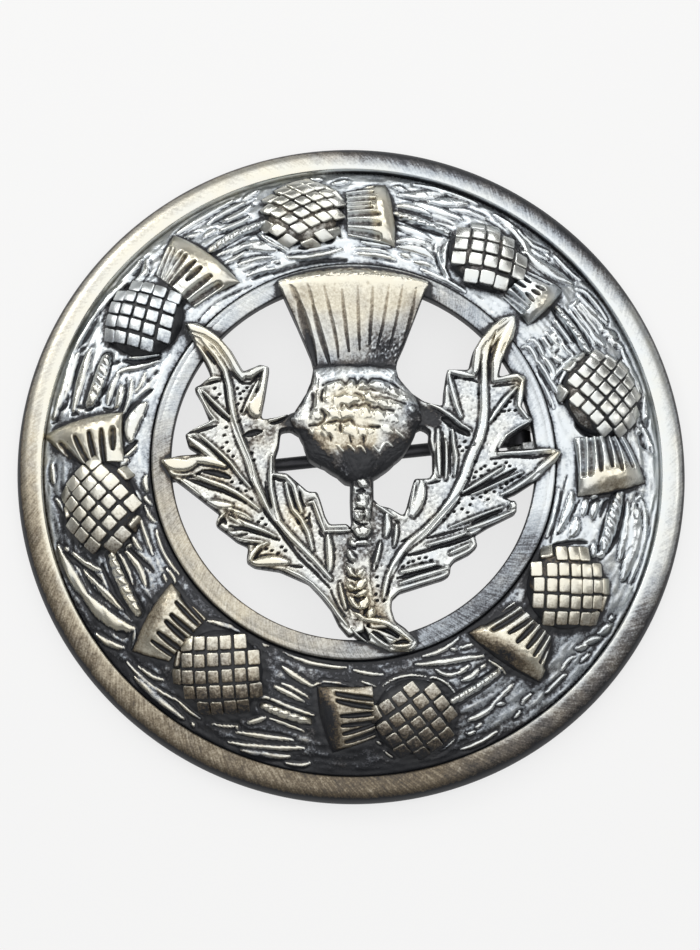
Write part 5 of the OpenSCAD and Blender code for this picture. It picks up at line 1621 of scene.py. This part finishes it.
# Painted shade on the outer part of the rim, and painted light and shade in the crevice inside it: angle,
# darker
EDGE_TONE = [
    (0, .04), (28, .11), (42, .3), (80, .32), (92, .24), (104, .08), (160, .06), (180, 0), (200, .03),
    (300, .04), (330, .03), (360, .04),
]
CREVICE_TONE = [
    (0, -.62), (22, -.44), (40, -.2), (85, -.14), (98, -.5), (165, -.58), (200, -.54), (225, -.07),
    (262, .07), (285, .06), (305, -.3), (335, -.52), (360, -.62),
]
EDGE_FROM = 35.6
EDGE_RUN = 1.5
CREVICE_R = GROOVE_R - 0.2
CREVICE_REACH = 0.55
# How warm the metal is before any of these, and how much less so for each side
COOL_SIDE = 0.3
SIDE_COOLING = 0.15
SIDE_R = 20
# Open end of a ring crown: its reach, where its painted shade and its warmth begin and over what length they
# grow, the painted highlight along the crest, and how warm the end may get
END_REACH = 6.5
END_DARK_FROM = -1.0
END_DARK_RUN = 1.2
END_WARM_FROM = -2.0
END_WARM_RUN = 0.6
CREST_AT = -1.35
CREST_WIDTH = 0.45
CREST_SHINE = 0.07
END_WARMTH = 3
END_WARMEST = 0.5
# Brightness of what stands up: how far it is compared, and how much it counts
FINE_REACH = 0.3
BROAD_REACH = 1.1
RUB_BLUR = 0.7
FLAT_RELIEF = 0.5
HOLLOW_SHARE = 1.4
EDGE_SHARE = 2.0
BROAD_SHARE = 0.5
LINE_SHARE = 0.13
STUD_LIFT = 0.12
# Studs are painted lighter on their faces towards +Y and darker on those towards -Y, as painted light and
# shade, and the band is warm only on what stands up
STUD_PAINTED_LIGHT = 0.42
BAND_WARMING = 5
# Most that a piece's relief may brighten it
SHINE = {"ring": 0.57, "bulb_studs": 0.6, "ring_crowns": 0.66}
RING_PIECES = ("ring", "carved_band", "bulb_domes", "ring_crowns", "bulb_studs")


def by_angle(table, column, angle):
    """Values of a column of a table whose first column is the angle."""
    rows = np.array(table, float)
    return np.interp(angle, rows[:, 0], rows[:, column])


def tone_at(points, on_ring):
    """How much darker and warmer the metal is at points, from the tables, which hold painted light and shade
    as well as the metal's tone.
    """
    x, y = points[:, 0], points[:, 1]
    dark = np.zeros(len(points))
    warm = COOL_SIDE - SIDE_COOLING * np.clip(x / SIDE_R, -1, 1)
    for tx, ty, reach, darker, warmer in TONES:
        near = np.exp(-((x - tx) ** 2 + (y - ty) ** 2) / reach ** 2)
        dark += darker * near
        warm += warmer * near
    if on_ring:
        angle = np.degrees(np.arctan2(y, x)) % 360
        r = np.hypot(x, y)
        on_lip = (r < BAND_INNER) & (r > OPENING_R - 0.2)
        for table, here, keep in (
                (BAND_TONE, r > BAND_INNER, 1), (LIP_TONE, on_lip, 0), (RIM_TONE, r > BAND_OUTER, 0)):
            dark = np.where(here, dark * keep + by_angle(table, 1, angle), dark)
            warm = np.where(here, warm * keep + by_angle(table, 2, angle), warm)
        dark += by_angle(CREVICE_TONE, 1, angle) * np.exp(-((r - CREVICE_R) / CREVICE_REACH) ** 2)
        dark += by_angle(EDGE_TONE, 1, angle) * ramp(r, EDGE_FROM, EDGE_RUN)
    return dark, np.clip(warm, 0, 1)


def bulb_tone_at(points):
    """Tone of the ring thistle that each point is nearest to, with painted shade on its lower side and
    painted light on its upper side.
    """
    middles = np.array([polar(row[0], row[1]) for row in BULBS])
    nearest = np.argmin(((points[:, None, :2] - middles[None]) ** 2).sum(2), 1)
    dark, warm, lower = np.array(BULB_TONE)[nearest].T
    up = np.clip((points[:, 1] - middles[nearest, 1]) / 4, -1, 1)
    return dark - lower * up, warm


def crown_end_tone(points):
    """Painted highlight along the crest of each ring crown's open end and painted brown shade past it, as
    how much darker and warmer the metal is made there.
    """
    dark = np.zeros(len(points))
    warm = np.zeros(len(points))
    for (start, inner, outer, out_a, out_r, in_a, in_r, _), (_, _, end_dark) in zip(CROWNS, CROWN_TONE):
        neck = np.array(polar(start, (inner + outer) / 2))
        inner_end = np.array(polar(in_a, in_r))
        edge = np.array(polar(out_a, out_r)) - inner_end
        outwards = np.array([edge[1], -edge[0]]) / np.hypot(*edge)
        outwards *= np.sign(outwards @ (inner_end + edge / 2 - neck))
        offset = points[:, :2] - inner_end
        past = offset @ outwards
        near = np.hypot(*(offset - edge / 2).T) < END_REACH
        beyond = ramp(past, END_DARK_FROM, END_DARK_RUN)
        crest = np.exp(-((past - CREST_AT) / CREST_WIDTH) ** 2)
        dark += near * (end_dark * beyond - CREST_SHINE * crest)
        warmed = ramp(past, END_WARM_FROM, END_WARM_RUN)
        warm += near * min(end_dark * END_WARMTH, END_WARMEST) * warmed
    return dark, warm


def rub(things):
    """Writes each point's height over what is round it, its tone with its painted light and shade, and which
    faces look down.
    """
    field = height_map(things)
    fine = soft_height(field, FINE_REACH)
    broad = soft_height(field, BROAD_REACH)
    rubbed = np.zeros(field.size)
    for x, y, amount in RUBBED:
        np.maximum.at(rubbed, map_cells(x, y), amount)
    rubbed = blurred(rubbed.reshape(field.shape), RUB_BLUR, RUB_BLUR)
    for thing in things:
        points, _ = mesh_arrays(thing)
        height = points[:, 2]
        near = height - map_value(fine, points)
        relief = FLAT_RELIEF + near * np.where(near < 0, HOLLOW_SHARE, EDGE_SHARE)
        relief += (height - map_value(broad, points)) * BROAD_SHARE + LINE_SHARE * map_value(rubbed, points)
        dark, warm = tone_at(points, thing.name in RING_PIECES)
        if thing.name in ("bulb_domes", "bulb_studs"):
            dark, warm = bulb_tone_at(points)
        if thing.name == "bulb_studs":
            relief += STUD_LIFT
            # Painted light on the studs' faces towards +Y and painted shade on those towards -Y
            dark = dark - STUD_PAINTED_LIGHT * read(thing.data.vertex_normals, "vector", 3)[:, 1]
        if thing.name == "carved_band":
            warm = warm * np.clip((relief - FLAT_RELIEF) * BAND_WARMING, 0, 1)
        # Painted brown shade past each ring crown's crest, and a painted highlight along it
        if thing.name == "ring_crowns":
            end_dark, end_warm = crown_end_tone(points)
            dark = dark + end_dark
            warm = np.clip(warm + end_warm, 0, 1)
        give(thing, "relief", np.clip(relief, 0, SHINE.get(thing.name, 1.0)))
        give(thing, "tone_and_painted_light", dark + PIECE_TONE.get(thing.name, 0))
        give(thing, "warmth", warm)
        give(thing, "around", np.arctan2(points[:, 1], points[:, 0]) * RING_R * MM)
        give(thing, "back", read(thing.data.polygons, "normal", 3)[:, 2] < BACK_FACING, "FACE")


# Finishes, from the deepest hollow to the most rubbed edge: level and colour
COOL_METAL = [
    (0.27, (0.010, 0.011, 0.014)), (0.38, (0.070, 0.073, 0.082)), (0.48, (0.265, 0.290, 0.318)),
    (0.66, (0.49, 0.52, 0.54)),
]
WARM_METAL = [
    (0.22, (0.010, 0.011, 0.014)), (0.36, (0.105, 0.083, 0.056)), (0.49, (0.31, 0.275, 0.212)),
    (0.67, (0.55, 0.525, 0.44)),
]
DARK_STEEL = (0.02, 0.02, 0.023, 1)
WORN_STEEL = (0.055, 0.055, 0.06, 1)
# Noises: lumps to the metre, and steps of detail
SPECKS = (5200.0, 2.0)
CLOUDS = (420.0, 3.0)
PEBBLES = (2600.0, 1.0)
BUMPS = (9000.0, 3.0)
STEEL_CLOUDS = (700.0, 3.0)
STEEL_SCRATCHES = (6000.0, 2.0)
STROKE_LENGTH = 300.0
STROKE_WIDTH = 3200.0
# How much each noise shifts the level, and how bright the back and the bracket are
SPECK_SHARE = 0.2
CLOUD_SHARE = 0.16
PEBBLE_SHARE = 0.3
BACK_CLOUD = 0.3
WARM_CLOUD = 0.8
BACK_LEVEL = 0.5
BRACKET_LEVEL = 0.47
BUMP_STRENGTH = 0.35
BUMP_DEPTH = 0.00003


def new_finish(name):
    material = bpy.data.materials.new(name)
    material.use_nodes = True
    tree = material.node_tree
    tree.nodes.clear()
    return material, tree


def end_finish(tree, sockets):
    """Surface of a finish, with these numbers and links on its sockets."""
    shader = add_node(tree, "ShaderNodeBsdfPrincipled", {}, sockets)
    out = tree.nodes.new("ShaderNodeOutputMaterial")
    tree.links.new(shader.socket, out.inputs[0])


def noise(tree, place, scale, detail):
    return add_node(tree, "ShaderNodeTexNoise", {"noise_dimensions": "3D"}, {
        "Vector": place, "Scale": scale, "Detail": detail, "Roughness": 0.5})


def antiqued_metal(name, polish=0.0, brushed=0.0, grainy=1.0):
    """Cast metal, black in its hollows and rubbed bright on what stands up, and made lighter or darker by
    the painted light and shade of its tone attribute.
    """
    material, tree = new_finish(name)
    place = add_node(tree, "ShaderNodeTexCoord", output=3)
    relief, tone_and_painted_light, warmth, around, back = [
        add_node(tree, "ShaderNodeAttribute", {"attribute_name": key}, {}, 2)
        for key in ("relief", "tone_and_painted_light", "warmth", "around", "back")]
    speck = noise(tree, place, *SPECKS)
    cloud = noise(tree, place, *CLOUDS)
    pebble = noise(tree, place, *PEBBLES)
    x, y, z = separate(place)
    outward = (x * x + y * y) ** 0.5
    stretched = combine(
        tree, (around + outward) * STROKE_LENGTH, (around - outward) * STROKE_WIDTH, z * STROKE_LENGTH)
    strokes = noise(tree, stretched, 1.0, 3.0)
    fleck = (speck - 0.5) * SPECK_SHARE
    # The tone attribute subtracted here darkens by painted shade and lightens by painted light, besides the
    # metal's own tone
    level = relief + fleck + (cloud - 0.5) * CLOUD_SHARE + (strokes - 0.5) * brushed + polish - tone_and_painted_light
    level = level + (pebble - 0.5) * (PEBBLE_SHARE * grainy)
    plain = fleck + (cloud - 0.5) * BACK_CLOUD + BACK_LEVEL
    level = (level * (1 - back) + plain * back).limited()
    cool = add_node(tree, "ShaderNodeValToRGB", {"stops": COOL_METAL}, {0: level})
    warm = add_node(tree, "ShaderNodeValToRGB", {"stops": WARM_METAL}, {0: level})
    share = (warmth * (1 - back) + back * COOL_SIDE + (cloud - 0.5) * WARM_CLOUD).limited()
    bumps = noise(tree, place, *BUMPS) + strokes * (brushed * 3) + pebble * (2 * grainy)
    normal = add_node(tree, "ShaderNodeBump", {}, {
        "Strength": BUMP_STRENGTH, "Distance": BUMP_DEPTH, "Height": bumps})
    end_finish(tree, {
        "Base Color": mixed(share, cool, warm), "Roughness": 0.56 - level * 0.30,
        "Metallic": (level * 1.6 + 0.1).limited(), "Normal": normal})
    return material


def mixed(factor, a, b):
    """Colour between a and b."""
    return factor.node("ShaderNodeMix", {"data_type": "RGBA"}, {0: factor, 6: a, 7: b}, 2)


def plain_steel(name):
    material, tree = new_finish(name)
    place = add_node(tree, "ShaderNodeTexCoord", output=3)
    end_finish(tree, {
        "Base Color": mixed(noise(tree, place, *STEEL_CLOUDS), DARK_STEEL, WORN_STEEL),
        "Roughness": noise(tree, place, *STEEL_SCRATCHES) * 0.2 + 0.34, "Metallic": 0.9})
    return material


def dress(thing, material):
    thing.data.materials.clear()
    thing.data.materials.append(material)


# Floor: how much it shines by itself, its grey, and half its width in metres
FLOOR_GLOW = 0.735
FLOOR_GREY = (0.12, 0.12, 0.12, 1)
FLOOR_HALF = 4.0
# Lights: direction from +X anticlockwise, height in degrees, distance and size in metres, power, colour
LIGHTS = [
    ("overhead", 105, 84, 0.45, 1.0, 3.9, (1.0, 1.0, 1.0)),
    ("upper_left", 135, 32, 0.40, 0.14, 0.5, (1.0, 0.98, 0.93)),
    ("right", 8, 30, 0.40, 0.14, 0.2, (1.0, 0.98, 0.94)),
    ("top", 75, 30, 0.40, 0.2, 0.4, (1.0, 0.99, 0.97)),
]
ROOM = (0.80, 0.79, 0.77, 1)
ROOM_LIGHT = 0.3


def make_floor():
    mesh = bpy.data.meshes.new("floor")
    corners = [(x * FLOOR_HALF, y * FLOOR_HALF, 0) for x, y in ((-1, -1), (1, -1), (1, 1), (-1, 1))]
    mesh.from_pydata(corners, [], [(0, 1, 2, 3)])
    floor = put("floor", mesh)
    material, tree = new_finish("floor_white")
    end_finish(tree, {
        "Base Color": FLOOR_GREY, "Roughness": 0.8, "Emission Color": (1, 1, 1, 1),
        "Emission Strength": FLOOR_GLOW, "Specular IOR Level": 0.2})
    dress(floor, material)


def make_light(name, azimuth, height, distance, size, power, colour):
    data = bpy.data.lights.new(name, "AREA")
    data.shape = "DISK"
    data.size = size
    data.energy = power
    data.color = colour
    a, e = math.radians(azimuth), math.radians(height)
    place = Vector((math.cos(a) * math.cos(e), math.sin(a) * math.cos(e), math.sin(e))) * distance
    light = put(name, data)
    light.location = place
    light.rotation_euler = place.to_track_quat("Z", "Y").to_euler()


def make_room():
    world = bpy.data.worlds.new("room")
    world.use_nodes = True
    sky = world.node_tree.nodes["Background"]
    sky.inputs[0].default_value = ROOM
    sky.inputs[1].default_value = ROOM_LIGHT
    bpy.context.scene.world = world
    bpy.context.scene.view_settings.view_transform = "Standard"


# Making of all pieces
def all_of(name, make, rows):
    return joined([make(row, SEED[name] + k) for k, row in enumerate(rows)])


make_camera()
metal = antiqued_metal("antiqued_metal")
finishes = {
    "ring": antiqued_metal("brushed_rim", 0.08, 0.25, 0.25),
    "centre_crown": antiqued_metal("antiqued_polished", 0.08, 0.1, 0.4),
}
steel = plain_steel("dull_steel")
stud_net = stud_tree()
shapes = {
    "ring": make_ring(),
    "carved_band": make_band(),
    "bulb_domes": all_of("bulb_domes", make_bulb_dome, BULBS),
    "ring_crowns": all_of("ring_crowns", make_ring_crown, CROWNS),
    "bulb_studs": all_of("bulb_studs", make_studs, BULBS),
    "left_leaf": make_leaf("left_leaf", LEFT_LEAF, LEFT_RAISED, LEFT_SUNK, LEFT_PITS),
    "right_leaf": make_leaf("right_leaf", RIGHT_LEAF, RIGHT_RAISED, RIGHT_SUNK, RIGHT_PITS),
    "foot": make_foot(),
    "centre_crown": make_centre_crown(),
    "centre_dome": make_centre_dome(),
    "centre_stem": make_stem(),
}
pieces = {name: object_of(name, shape) for name, shape in shapes.items()}
rub(pieces.values())

bracket = object_of("bracket_and_catch", make_bracket())
soften(bracket, CAST_ROUND)
for key, value in (("relief", BRACKET_LEVEL), ("tone_and_painted_light", 0.0), ("warmth", COOL_SIDE), ("around", 0.0)):
    give(bracket, key, np.full(len(bracket.data.vertices), value))
pieces["bracket_and_catch"] = bracket

for name, piece in pieces.items():
    dress(piece, finishes.get(name, metal))
    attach(piece, "brooch")
    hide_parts("brooch_casting")
for node in ("pin_stem", "hinge_rivet"):
    dress(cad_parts[node], steel)

make_floor()
for row in LIGHTS:
    make_light(*row)
make_room()
